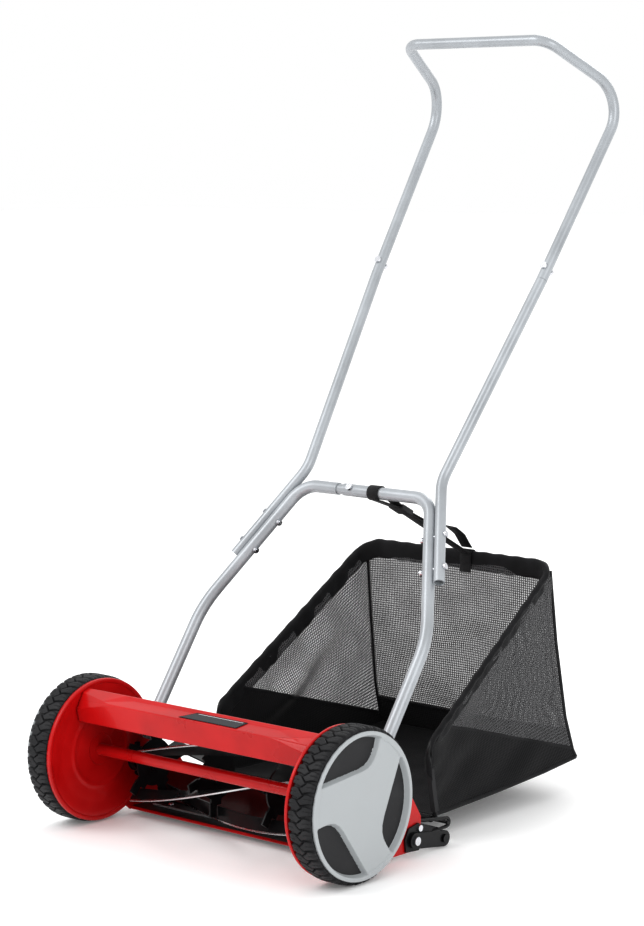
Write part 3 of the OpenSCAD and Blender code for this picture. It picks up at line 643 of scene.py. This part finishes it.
def hub_points():
    """Polar grid (radius, angle): x = spoke level + ring - windows, closed behind."""
    radius = np.concatenate([np.linspace(0, 38, 12), np.linspace(38.6, 98, 112)]) * MM
    angle = np.linspace(0, 2 * np.pi, 577)
    flat = radius[:, None, None] * np.stack([np.cos(angle), np.sin(angle)], axis=-1)[None]
    depth = in_windows(flat)
    level = SPOKE_X + (RING_X - SPOKE_X) * ramp(radius, 90.0 * MM, 92.0 * MM)[:, None]
    x = level - (level - PANEL_X) * np.clip((depth + 1.8 * MM) / (3.4 * MM), 0, 1)
    edge = np.linspace(0, np.pi / 2, 6)[1:]
    round_r = np.concatenate([HUB_R - HUB_ROUND * (1 - np.sin(edge)),
                              [HUB_R, FLANGE_R, FLANGE_R, 0]])
    round_x = np.concatenate([RING_X - HUB_ROUND * (1 - np.cos(edge)),
                              [FLANGE_X, FLANGE_X, HUB_BACK_X, HUB_BACK_X]])
    r = np.concatenate([radius, round_r])[:, None]
    x = np.concatenate([x, np.broadcast_to(round_x[:, None], (len(round_x), len(angle)))])
    return np.stack([x, r * np.cos(angle), AXLE_Z + r * np.sin(angle)], axis=-1)


for side_name, sign in SIDES:
    cover = surface(f"hub_{side_name}", on_side(hub_points(), sign), silver_plastic, closed=True)
    cover.data.materials.append(wheel_plastic)
    depth = np.abs(face_centres(cover)[:, 0])
    panel = (np.abs(depth - PANEL_X) < 0.5 * MM).astype(int)
    cover.data.polygons.foreach_set("material_index", panel)
    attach(cover, f"wheel_{side_name}")
    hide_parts(f"hub_cover_{side_name}")

# %% [markdown]
# ## Softened edges
# Where a CAD shape is right but its edges are sharp, its mesh is copied, its loose triangles
# are merged to flat faces, and every edge gets a small bevel, which catches the light.

# %% Softened copy
def softened(name, node_name, look, width, segments=3, angle=35):
    """A copy of a CAD node with its triangles merged and its sharp edges rounded."""
    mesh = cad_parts[node_name].data.copy()
    mesh.name = name
    shell = bmesh.new()
    shell.from_mesh(mesh)
    bmesh.ops.remove_doubles(shell, verts=shell.verts, dist=2e-6)
    bmesh.ops.dissolve_limit(shell, angle_limit=math.radians(0.6), verts=shell.verts,
                             edges=shell.edges)
    shell.to_mesh(mesh)
    shell.free()
    mesh.materials.clear()
    mesh.materials.append(look)
    mesh.polygons.foreach_set("use_smooth", [True] * len(mesh.polygons))
    made = add_object(name, mesh)
    bevel = made.modifiers.new("bevel", "BEVEL")
    bevel.width = width
    bevel.segments = segments
    bevel.limit_method = "ANGLE"
    bevel.angle_limit = math.radians(angle)
    bevel.harden_normals = True
    print(name, "softened by", width * 1000, "mm")
    return made


print("ready to soften")

# %% [markdown]
# ## Pressed side plates
# The side plates are pressed from sheet: a rolled rim, then a soft curve down to the flat
# middle, with a shallow bead in it. The CAD plate gives the outline; a turned shell laid in
# it gives the press's soft curves.

# %% Side plate dish
def bump_at(radius, middle, width, height):
    """A round bead: height * exp(-((radius - middle) / width) ^ 2)."""
    return height * np.exp(-((radius - middle) / width) ** 2)


def dish_points(sign):
    """A thin closed ring: out along the pressed face, over the rim, and back behind it."""
    face_r = np.linspace(22, 95.4, 80) * MM
    fall = ramp(face_r, 74 * MM, 95.8 * MM)
    face_x = (223.75 - 1.9 * fall) * MM - bump_at(face_r, 52 * MM, 4 * MM, 1.1 * MM)
    roll = np.linspace(0, np.pi, 14)
    rim_r = (98.8 + 3.35 * -np.cos(roll)) * MM
    rim_x = (221.85 - 1.5 * np.sin(roll)) * MM
    skirt_r = np.array([102.25, 102.25, 101.9]) * MM
    skirt_x = np.array([223, 226.3, 226.3]) * MM
    back_r = np.array([101.7, 95, 74, 22]) * MM
    back_x = np.array([223.0, 222.6, 223.95, 223.95]) * MM
    radius = np.concatenate([face_r, rim_r, skirt_r, back_r])
    across = np.concatenate([face_x, rim_x, skirt_x, back_x])
    return on_side(lathe(radius, across, 180), sign)


for side_name, sign in SIDES:
    dish = surface(f"plate_dish_{side_name}", dish_points(sign), red_enamel, closed=True)
    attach(dish, "deck")

# %% [markdown]
# ## Sheet cover
# The cover over the reel is one folded red sheet: a front face, a strip on top with a
# shallow tray that holds the label, and a slope to the rear. The tray's ends are cut like a
# hipped roof, so its depth is the least of four slopes, one from each edge.

# %% Cover
COVER_HALF = 221.5 * MM
COVER_LINE = np.array([(-38, 153.6), (-44.2, 153.2), (-52.2, 188.2), (-26, 198.4), (62.2, 158.2),
                       (63.8, 150.3)]) * MM
TRAY_X0, TRAY_X1 = -172 * MM, 198 * MM
TRAY_FRONT, TRAY_REAR = -50.5 * MM, -28 * MM


def tray(x, y):
    """Depth of the tray at (x, y): the least of a long fall from the fold, a steep riser at
    the rear and a slope at each end, whose edge is slanted."""
    slant = (y - TRAY_FRONT) * 1.3
    slopes = np.minimum(np.minimum((x - TRAY_X0 - slant) * 0.10, (TRAY_X1 - slant - x) * 0.10),
                        np.minimum((y - TRAY_FRONT) * 0.13, (TRAY_REAR - y) * 0.9))
    return np.clip(slopes, 0, 3 * MM)


CUT_FROM, CUT_FULL = 150 * MM, 17 * MM


def cover_points():
    """A folded sheet. The fold line is carried across the mower and the tray is pressed in.

    Near the ends the front fold is cut by a facet that widens towards the wheel: a point at
    a distance u from the fold moves in along the bisector by (c - u) cos(half the angle)."""
    line = smoothed(even_line(COVER_LINE, 230), 2)
    x = np.linspace(COVER_HALF, -COVER_HALF, 200)
    points = np.empty((len(x), len(line), 3))
    points[..., 0] = x[:, None]
    points[..., 1] = line[None, :, 0]
    points[..., 2] = line[None, :, 1]
    gone = length_along(line)
    fold = gone[np.argmin(np.linalg.norm(line - COVER_LINE[2], axis=1))]
    on_top = (gone > fold + 1 * MM) & (line[:, 0] < TRAY_REAR)
    points[..., 2] -= tray(points[..., 0], points[..., 1]) * on_top
    cut = CUT_FULL * np.clip((np.abs(x) - CUT_FROM) / (COVER_HALF - CUT_FROM), 0, 1)
    move = np.clip(cut[:, None] - np.abs(gone - fold)[None, :], 0, None) * 0.655
    points[..., 1] += move * 0.882
    points[..., 2] -= move * 0.470
    return points


cover = surface("cover_sheet", cover_points(), red_enamel)
wall = cover.modifiers.new("wall", "SOLIDIFY")
wall.thickness = 2 * MM
wall.offset = -1
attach(cover, "deck")
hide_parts("top_cover")


def cover_tab_points(sign):
    """The end tab: a closed plate in the wheel plate's dish, with its outline swept in x."""
    outline = np.array([(-40, 154), (-46, 172), (-38, 188), (-28, 195), (8, 180), (20, 166),
                        (-22, 154)]) * MM
    line = smoothed(even_line(np.vstack([outline, outline[:1]]), 60), 2)
    path = np.array([[220.5 * MM], [223.4 * MM]]) * X
    return on_side(swept(path, Y, Z, line[:-1]), sign)


for side_name, sign in SIDES:
    tab = surface(f"cover_tab_{side_name}", cover_tab_points(sign), red_enamel, closed=True,
                  smooth=False)
    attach(tab, "deck")

# %% [markdown]
# The label is a plain dark foil in the tray. A thin bright zinc strip along its rear edge is a
# painted highlight: the line of light on the tray's rear step. It has no words: only the finish
# of a printed label.

# %% Label
def plate_on_tray(name, x0, x1, y0, y1, lift, thick, look):
    """A thin plate that follows the tray's floor between the given edges, with slanted ends."""
    line = smoothed(even_line(COVER_LINE, 230), 2)
    x, y = np.linspace(x0, x1, 40), np.linspace(y0, y1, 12)
    on_top = line[(line[:, 1] > 188.6 * MM) & (line[:, 0] < -20 * MM)]
    order = np.argsort(on_top[:, 0])
    z = np.interp(y, on_top[order, 0], on_top[order, 1])
    grid_x, grid_y = np.meshgrid(x, y, indexing="ij")
    grid_x = grid_x + (grid_y - TRAY_FRONT) * np.linspace(1.0, 0.3, 40)[:, None]
    height = z[None, :] - tray(grid_x, grid_y) + lift
    made = surface(name, np.stack([grid_x, grid_y, height], axis=-1), look)
    body = made.modifiers.new("wall", "SOLIDIFY")
    body.thickness = thick
    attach(made, "deck")
    return made


label = plate_on_tray("plain_label", -22 * MM, 86 * MM, -48.5 * MM, -30.6 * MM, 0.5 * MM,
                      0.4 * MM, label_foil)
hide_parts("cover_label")
# Painted highlight: a bright zinc strip stands for the light caught along the tray's rear step.
painted_highlight_strip = plate_on_tray("painted_highlight_strip", -16 * MM, 80 * MM, -33.4 * MM, -32.2 * MM, 0.75 * MM,
                           0.3 * MM, zinc_plate)

# %% [markdown]
# ## Apron
# Behind the reel a curved sheet rises from the cutter bar and leads the cut grass into the bag.
# It runs round the reel at a steady small distance, so it is an arc carried across. Its red
# is darkened almost to black: painted shade for the dark space behind the reel.

# %% Apron
REEL_AWAY, REEL_DIP = 76 * MM, math.radians(20)
REEL_Y, REEL_Z = REEL_AWAY * math.cos(REEL_DIP), AXLE_Z - REEL_AWAY * math.sin(REEL_DIP)
APRON_R, APRON_HALF, APRON_T = 70 * MM, 221 * MM, 1.6 * MM
APRON_FROM, APRON_TO = -62, -16


def apron_points():
    """A closed strip: the arc (y, z) = reel axis + R (cos a, sin a), swept along x."""
    reel = np.array([REEL_Y, REEL_Z])
    angle = np.radians(np.linspace(APRON_FROM, APRON_TO, 30))
    arc = np.stack([np.cos(angle), np.sin(angle)], axis=1)
    ring = np.concatenate([reel + APRON_R * arc, reel + (APRON_R + APRON_T) * arc[::-1]])
    return swept(np.linspace(-APRON_HALF, APRON_HALF, 12)[:, None] * X, Y, Z, ring)


# Painted shade: a deep dark red for the sheet that lies in the shade behind the reel.
painted_shade_red = painted("painted_shade_red", (0.10, 0.002, 0.002), 0.36, 0.1, 0.00006)
apron = surface("grass_apron", apron_points(), painted_shade_red, closed=True, smooth=False)
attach(apron, "deck")

# %% [markdown]
# ## Reel blades
# Each blade is a flat steel strip wound into a helix round the shaft. It is painted black,
# but its outer edge is ground bright, since it shears the grass against the bed knife. The
# strip is a small closed profile carried along the reel while it turns.

# %% Blades
REEL_HALF, REEL_R, BLADE_DEPTH, BLADE_T = 200 * MM, 64.5 * MM, 21 * MM, 2.6 * MM
BLADE_TWIST, BLADE_START, BLADES = 104, -179, 5
GROUND = 2.3 * MM

blade_paint = painted("blade_paint", (0.006, 0.006, 0.007), 0.30, 0.2, 0.00006)
edge_steel = bare_metal("edge_steel", (0.72, 0.72, 0.73), 0.26, 0)


def blade_points(turn):
    """A helical strip: the profile (radius, thickness) turned by an angle that falls with x."""
    x = np.linspace(-REEL_HALF, REEL_HALF, 140)
    angle = np.radians(BLADE_START - BLADE_TWIST * x / (2 * REEL_HALF) + turn)[:, None]
    inner, outer = REEL_R - BLADE_DEPTH, REEL_R - 0.1 * MM
    nick = 0.35 * MM
    radius = np.array([inner, inner + nick, outer - 2.2 * MM, outer - 0.2 * MM, outer, outer,
                       outer - 2.2 * MM, outer - GROUND, inner + nick, inner])
    thick = np.array([nick, 0, 0, 0, 0.2 * MM, BLADE_T - nick, BLADE_T, BLADE_T, BLADE_T,
                      BLADE_T - nick])
    y = REEL_Y + radius * np.cos(angle) - thick * np.sin(angle)
    z = REEL_Z + radius * np.sin(angle) + thick * np.cos(angle)
    points = np.stack([np.broadcast_to(x[:, None], y.shape), y, z], axis=-1)
    return ends_closed(np.concatenate([points, points[:, :1]], axis=1))


for number in range(BLADES):
    blade = surface(f"blade_{number + 1}", blade_points(number * 360 / BLADES), blade_paint,
                    closed=True, smooth=False)
    blade.data.materials.append(edge_steel)
    centres = face_centres(blade)
    reach = np.hypot(centres[:, 1] - REEL_Y, centres[:, 2] - REEL_Z)
    bright = (reach > REEL_R - GROUND).astype(int)
    blade.data.polygons.foreach_set("material_index", bright)
    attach(blade, "reel")
    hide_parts(f"reel_blade_{number + 1}")

# %% [markdown]
# ## Grass bag: the cloth walls
# The bag hangs from a wire hoop. Two side walls and a rear wall are mesh with a solid lower
# part, and the floor is solid. A wall is a sheet held at its four edges, so its surface is a
# Coons patch: the mean of the two sheets stretched between opposite edges, less the flat one
# through the corners. Sag and folds are added on top, and both die out at the held edges.

# %% Bag edges
def line_of(*points):
    return np.array(points, float) * MM


BAG_FRONT = line_of((197, 233, 36), (195.5, 219, 130))
BAG_TOP = line_of((195.5, 219, 130), (176, 531, 340))
BAG_FLOOR = line_of((197, 233, 36), (194, 262, 35), (190, 325, 36), (189, 395, 39), (188, 504, 46),
                    (187.5, 585, 54))
BAG_REAR = line_of((187.5, 585, 54), (187, 577, 66), (184, 561, 118), (179, 543, 232),
                   (176, 531, 340))


def coons(bottom, top, front, rear):
    """Surface over four edges: bottom and top run the same way, and so do front and rear."""
    s = np.linspace(0, 1, len(bottom))[:, None, None]
    t = np.linspace(0, 1, len(front))[None, :, None]
    across = (1 - t) * bottom[:, None] + t * top[:, None]
    upward = (1 - s) * front[None] + s * rear[None]
    flat = ((1 - s) * ((1 - t) * bottom[0] + t * top[0])
            + s * ((1 - t) * bottom[-1] + t * top[-1]))
    return across + upward - flat


def folds(s, t, seed, strength):
    """Soft folds: a few slanted waves with seeded direction, length and place."""
    draw = np.random.default_rng(seed)
    total = np.zeros(np.broadcast(s, t).shape)
    for _ in range(9):
        lean, pitch, phase = draw.uniform(-2.2, 2.2), draw.uniform(2.5, 7), draw.uniform(0, 7)
        place_s, place_t, size = draw.uniform(0, 1), draw.uniform(0, 1), draw.uniform(0.2, 0.45)
        wave = np.sin(pitch * (s + lean * t) * 2 + phase)
        near = np.exp(-((s - place_s) ** 2 + (t - place_t) ** 2) / size ** 2)
        total += wave * near
    held = np.clip(16 * s * (1 - s) * t * (1 - t), 0, 1) ** 0.6
    return strength * total * held


def cloth_uv(points):
    """UV in metres: the mean length along each direction of the grid."""
    across = np.linalg.norm(np.diff(points, axis=0), axis=2).mean(axis=1)
    upward = np.linalg.norm(np.diff(points, axis=1), axis=2).mean(axis=0)
    s, t = np.append(0, np.cumsum(across)), np.append(0, np.cumsum(upward))
    return np.stack(np.meshgrid(s, t, indexing="ij"), axis=-1)


def cloth(name, points, look, thick=0.5 * MM):
    """Makes a sheet on the bag: the surface with its cloth UV map and a thin wall."""
    made = surface(name, points, look, uv=cloth_uv(points))
    wall = made.modifiers.new("wall", "SOLIDIFY")
    wall.thickness = thick
    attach(made, "bag")
    return made


print("bag is", round(float(BAG_FLOOR[-1, 1] - BAG_FLOOR[0, 1]) * 1000), "mm deep")

# %% [markdown]
# The side walls: the mesh is slack, so it pulls in towards the middle, and creases run down
# from the hem.

# %% Bag sides
SIDE_S, SIDE_T = 130, 110
SIDE_SAG, CREASE, SIDE_FOLDS = 9 * MM, 2.5 * MM, 3.2 * MM


def side_wall(seed):
    """A wall on the right: a Coons patch pulled in by a sag, by creases and by folds."""
    grid = coons(even_line(BAG_FLOOR, SIDE_S), even_line(BAG_TOP, SIDE_S),
                 even_line(BAG_FRONT, SIDE_T), even_line(BAG_REAR, SIDE_T))
    s = np.linspace(0, 1, SIDE_S)[:, None]
    t = np.linspace(0, 1, SIDE_T)[None, :]
    sag = SIDE_SAG * 16 * s * (1 - s) * t * (1 - t)
    crease = CREASE * np.sin(26 * s + 3 * t) * ramp(t, 0.55, 0.95) * (1 - ramp(t, 0.95, 1.0))
    grid[..., 0] -= sag + crease
    grid[..., 0] -= folds(s, t, seed, SIDE_FOLDS)
    return grid


side_grids = {"left": side_wall(23), "right": side_wall(11)}
print("side walls drawn,", SIDE_S, "by", SIDE_T, "points each")

# %% [markdown]
# The rear wall is one sheet from the floor to the rear bar. Its lower edge bellies a little
# and the mesh folds where the corners pull on it.

# %% Bag rear and floor
REAR_P, REAR_T = 130, 120
REAR_SAG, REAR_FOLDS, FOOT_DROP, BAR_RISE = 10 * MM, 3.6 * MM, 3 * MM, 8 * MM


def rear_wall():
    """Coons patch between the two rear corner seams, the bar above and the floor below."""
    right = even_line(BAG_REAR, REAR_T)
    left = on_side(right, -1)
    p = np.linspace(0, 1, REAR_P)[:, None]
    bottom = left[0] * (1 - p) + right[0] * p
    bottom[:, 2] -= FOOT_DROP * 4 * (p * (1 - p))[:, 0]
    top = left[-1] * (1 - p) + right[-1] * p
    top[:, 2] += BAR_RISE * 4 * (p * (1 - p))[:, 0]
    grid = coons(bottom, top, left, right)
    t = np.linspace(0, 1, REAR_T)[None, :]
    slack = 16 * p * (1 - p) * t * (1 - t)
    grid[..., 1] -= REAR_SAG * slack
    grid[..., 1] -= folds(p, t, 5, REAR_FOLDS)
    return grid


FLOOR_STEPS, FLOOR_SAG, FLOOR_FOLDS = 90, 3.5 * MM, 0.9 * MM


def bag_floor():
    """The floor: stretched between the two floor edges, sagging in the middle."""
    right = even_line(BAG_FLOOR, FLOOR_STEPS)
    p = np.linspace(-1, 1, FLOOR_STEPS)[None, :, None]
    grid = np.repeat(right[:, None], FLOOR_STEPS, axis=1)
    grid[..., 0] *= p[..., 0]
    s = np.linspace(0, 1, FLOOR_STEPS)[:, None]
    grid[..., 2] -= FLOOR_SAG * 4 * s * (1 - s) * (1 - p[..., 0] ** 2)
    grid[..., 2] += folds(s, (p[..., 0] + 1) / 2, 31, FLOOR_FOLDS)
    return grid


rear_grid = rear_wall()
print("rear wall drawn,", REAR_P, "by", REAR_T, "points")

# %% [markdown]
# ## Hems and seams
# A wide black hem wraps the hoop's wire and hangs a little way down the inside: its profile
# is a ring round the wire with a tail. The wire's line has round corners, so the hem's path
# is built from straights and arcs, as the wire is. Bindings cover the seams between panels.

# %% Hem
def rounded_line(points, radii, step=3 * MM):
    """A line through points with an arc of the given radius at each inner point."""
    out = [points[:1]]
    for k in range(1, len(points) - 1):
        u, v = unit(points[k] - points[k - 1]), unit(points[k + 1] - points[k])
        half = math.acos(float(np.clip(u @ v, -1, 1))) / 2
        reach = radii[k] * math.tan(half)
        start, normal = points[k] - u * reach, unit(v - u * (u @ v))
        centre = start + normal * radii[k]
        angle = np.linspace(0, 2 * half, 14)[:, None]
        out.append(centre - normal * radii[k] * np.cos(angle) + u * radii[k] * np.sin(angle))
    out.append(points[-1:])
    joined = np.concatenate(out)
    return even_line(joined, int(length_along(joined)[-1] / step))


def band(name, path, side, up, profile, look, body):
    """A piece swept along a path with a closed profile in millimetres."""
    wide = np.asarray(profile, float) * MM
    points = swept(path, side, up, wide)
    gone = length_along(path)
    gone = np.concatenate([gone[:1], gone, gone[-1:]])
    around = length_along(np.concatenate([wide, wide[:1]]))
    uv = np.stack(np.meshgrid(gone, around, indexing="ij"), axis=-1)
    made = surface(name, points, look, uv=uv, closed=True)
    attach(made, body)
    return made


WIRE_LEG, WIRE_CORNER, WIRE_TOP = line_of((203, 232, 30), (200, 216, 134), (180, 535, 350))
HEM_START = WIRE_LEG + 0.78 * (WIRE_CORNER - WIRE_LEG)
LOW_BEND, TOP_BEND = 26 * MM, 34 * MM
half_hoop = np.array([HEM_START, WIRE_CORNER, WIRE_TOP])
hoop = rounded_line(np.concatenate([half_hoop, on_side(half_hoop[::-1], -1)]),
                    [0, LOW_BEND, TOP_BEND, TOP_BEND, LOW_BEND, 0])
along = unit(np.gradient(hoop, axis=0))
outward = unit(smoothed(np.cross(along, Z), 6))
upward = unit(np.array([0, -0.06, 1.0]))
HEM_PROFILE = [(-5.4, -24), (-3.9, -24.2), (-3.3, -15), (-2.9, -7), (0.6, -4.7), (3.4, -3.3),
               (4.7, 0), (3.4, 3.4), (0, 4.8), (-3.5, 3.5), (-5.0, -0.5), (-5.5, -8), (-5.6, -16)]
hem_profile = even_line(np.array(HEM_PROFILE + HEM_PROFILE[:1]), 34)[:-1]
hem = band("bag_hem", hoop, outward, upward, hem_profile, black_nylon, "bag")
hem_wave = np.empty(len(hem.data.vertices) * 3)
hem.data.vertices.foreach_get("co", hem_wave)
hem_wave = hem_wave.reshape(-1, 3)
HEM_WAVE = 0.5 * MM
hem_wave[:, 0] += np.sign(hem_wave[:, 0]) * HEM_WAVE * np.sin(hem_wave[:, 1] * 260)
hem_wave[:, 2] += HEM_WAVE * np.sin(hem_wave[:, 0] * 210 + hem_wave[:, 1] * 170)
hem.data.vertices.foreach_set("co", hem_wave.ravel())

# %% Bindings
ROUND = np.array([(math.cos(a), math.sin(a)) for a in np.linspace(0, 2 * math.pi, 11)[:-1]])


def binding(name, path, wide, thick, side, up):
    """A folded tape with an oval profile, wide by thick in millimetres."""
    return band(name, path, side, up, ROUND * (wide / 2, thick / 2), black_nylon, "bag")


def side_seam(grid):
    """Where the side wall meets the seam's height: one point for each column of the grid."""
    found = []
    for column in grid[4:-1]:
        fall = SEAM_FRONT_Z - SEAM_FALL * (column[:, 1] - SEAM_FRONT_Y) - column[:, 2]
        at = np.interp(0, -fall, np.arange(len(fall)))
        found.append([np.interp(at, np.arange(len(fall)), column[:, k]) for k in range(3)])
    found = np.array(found)
    return found[found[:, 1] > 262 * MM]


for side_name, sign in SIDES:
    seam = on_side(side_seam(side_grids[side_name]), sign)
    corner = on_side(even_line(BAG_REAR, 70), sign)
    below = on_side(even_line(BAG_FLOOR, 70), sign)
    binding(f"bag_seam_{side_name}", seam, 1.8, 6.0, X, Z)
    binding(f"bag_corner_{side_name}", corner, 3.0, 7.0, X, Y)
    binding(f"bag_foot_{side_name}", below, 3.0, 6.0, X, Z)

rear_level = np.array([[np.interp(REAR_SEAM_Z, column[:, 2], column[:, k]) for k in range(3)]
                       for column in rear_grid])
rear_band = binding("bag_rear_seam", rear_level, 1.8, 6.0, Y, Z)
foot_band = binding("bag_rear_foot", rear_grid[:, 0], 4.0, 5.0, Y, Z)
rod_path = np.stack([np.linspace(-196, 196, 60) * MM, np.full(60, 232 * MM),
                     np.full(60, 30 * MM)], axis=1)
rod_hem = binding("bag_front_hem", rod_path, 9.6, 9.6, Y, Z)

# %% Bag panels
for side_name, sign in SIDES:
    wall = cloth(f"bag_side_{side_name}", on_side(side_grids[side_name], sign), side_cloth)
    if sign > 0:
        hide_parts("bag_shell")
cloth("bag_rear", rear_grid, rear_cloth)
cloth("bag_floor", bag_floor(), black_nylon, thick=1.0 * MM)

# %% [markdown]
# ## Strap
# A webbing strap holds the rear of the bag up. It goes round the handle's cross bar, through
# a buckle and down to the bag's rear bar, with a slack second layer above it and a loose end
# hanging. Webbing is flat, so it is a flat profile carried along lines in one upright plane.

# %% Strap
STRAP_X, STRAP_W = 20 * MM, 20 * MM
HANDLE_PIVOT, HANDLE_RISE, CROSSBAR_AWAY = np.array([84, 121.2]), math.radians(55.4), 415
CROSSBAR = (HANDLE_PIVOT + CROSSBAR_AWAY
            * np.array([math.cos(HANDLE_RISE), math.sin(HANDLE_RISE)])) * MM
REAR_BAR = np.array([535, 350]) * MM
strap_dir = unit(REAR_BAR - CROSSBAR)
strap_up = np.array([-strap_dir[1], strap_dir[0]])
STRAP_LENGTH = float(np.linalg.norm(REAR_BAR - CROSSBAR))


def strap_point(u, v):
    """A point u along the strap from the cross bar and v above its line."""
    return CROSSBAR + strap_dir * u + strap_up * v


def ring_part(centre_u, radius, start, stop):
    """Part of a ring round a bar that is centre_u along the strap, between two angles."""
    angle = np.radians(np.linspace(start, stop, 26))
    return [strap_point(centre_u + radius * math.cos(a), radius * math.sin(a)) for a in angle]


def strap_band(name, line, body, wide=STRAP_W, count=150, thick=1.3):
    """Flat webbing along a line in the upright plane."""
    flat = smoothed(even_line(line, count), 4)
    path = np.stack([np.full(count, STRAP_X), flat[:, 0], flat[:, 1]], axis=1)
    along = unit(np.gradient(path, axis=0))
    half, rim = wide / MM / 2, 0.25
    profile = [(-half, -thick / 2 + rim), (-half + rim, -thick / 2), (half - rim, -thick / 2),
               (half, -thick / 2 + rim), (half, thick / 2 - rim), (half - rim, thick / 2),
               (-half + rim, thick / 2), (-half, thick / 2 - rim)]
    return band(name, path, X, np.cross(X, along), profile, webbing, body)


loop_line = ([strap_point(58 * MM, 1.0 * MM)] + ring_part(0, 10.5 * MM, 62, 298)
             + [strap_point(58 * MM, -1.0 * MM)])
loop_band = strap_band("strap_loop", np.array(loop_line), "strap")
main_line = ([strap_point(50 * MM, -0.9 * MM), strap_point(140 * MM, -1.6 * MM)]
             + ring_part(STRAP_LENGTH, 6.2 * MM, -160, 150))
main_band = strap_band("strap_main", np.array(main_line), "strap")
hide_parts("strap")
slack_line = [strap_point(u * MM, v * MM)
              for u, v in ((52, 1.0), (78, 1.4), (112, 3), (150, 11), (186, 20), (210, 18),
                           (228, 10), (236, 7.2))]
slack_band = strap_band("strap_slack", np.array(slack_line), "strap")
tail_line = np.array([(534, 356.2), (528.5, 352), (527.5, 344), (528.5, 334), (527, 322)]) * MM
tail_band = strap_band("strap_tail", tail_line, "bag", count=60)
buckle = softened("buckle", "strap_buckle", wheel_plastic, 0.5 * MM)
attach(buckle, "strap")
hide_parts("strap_buckle")
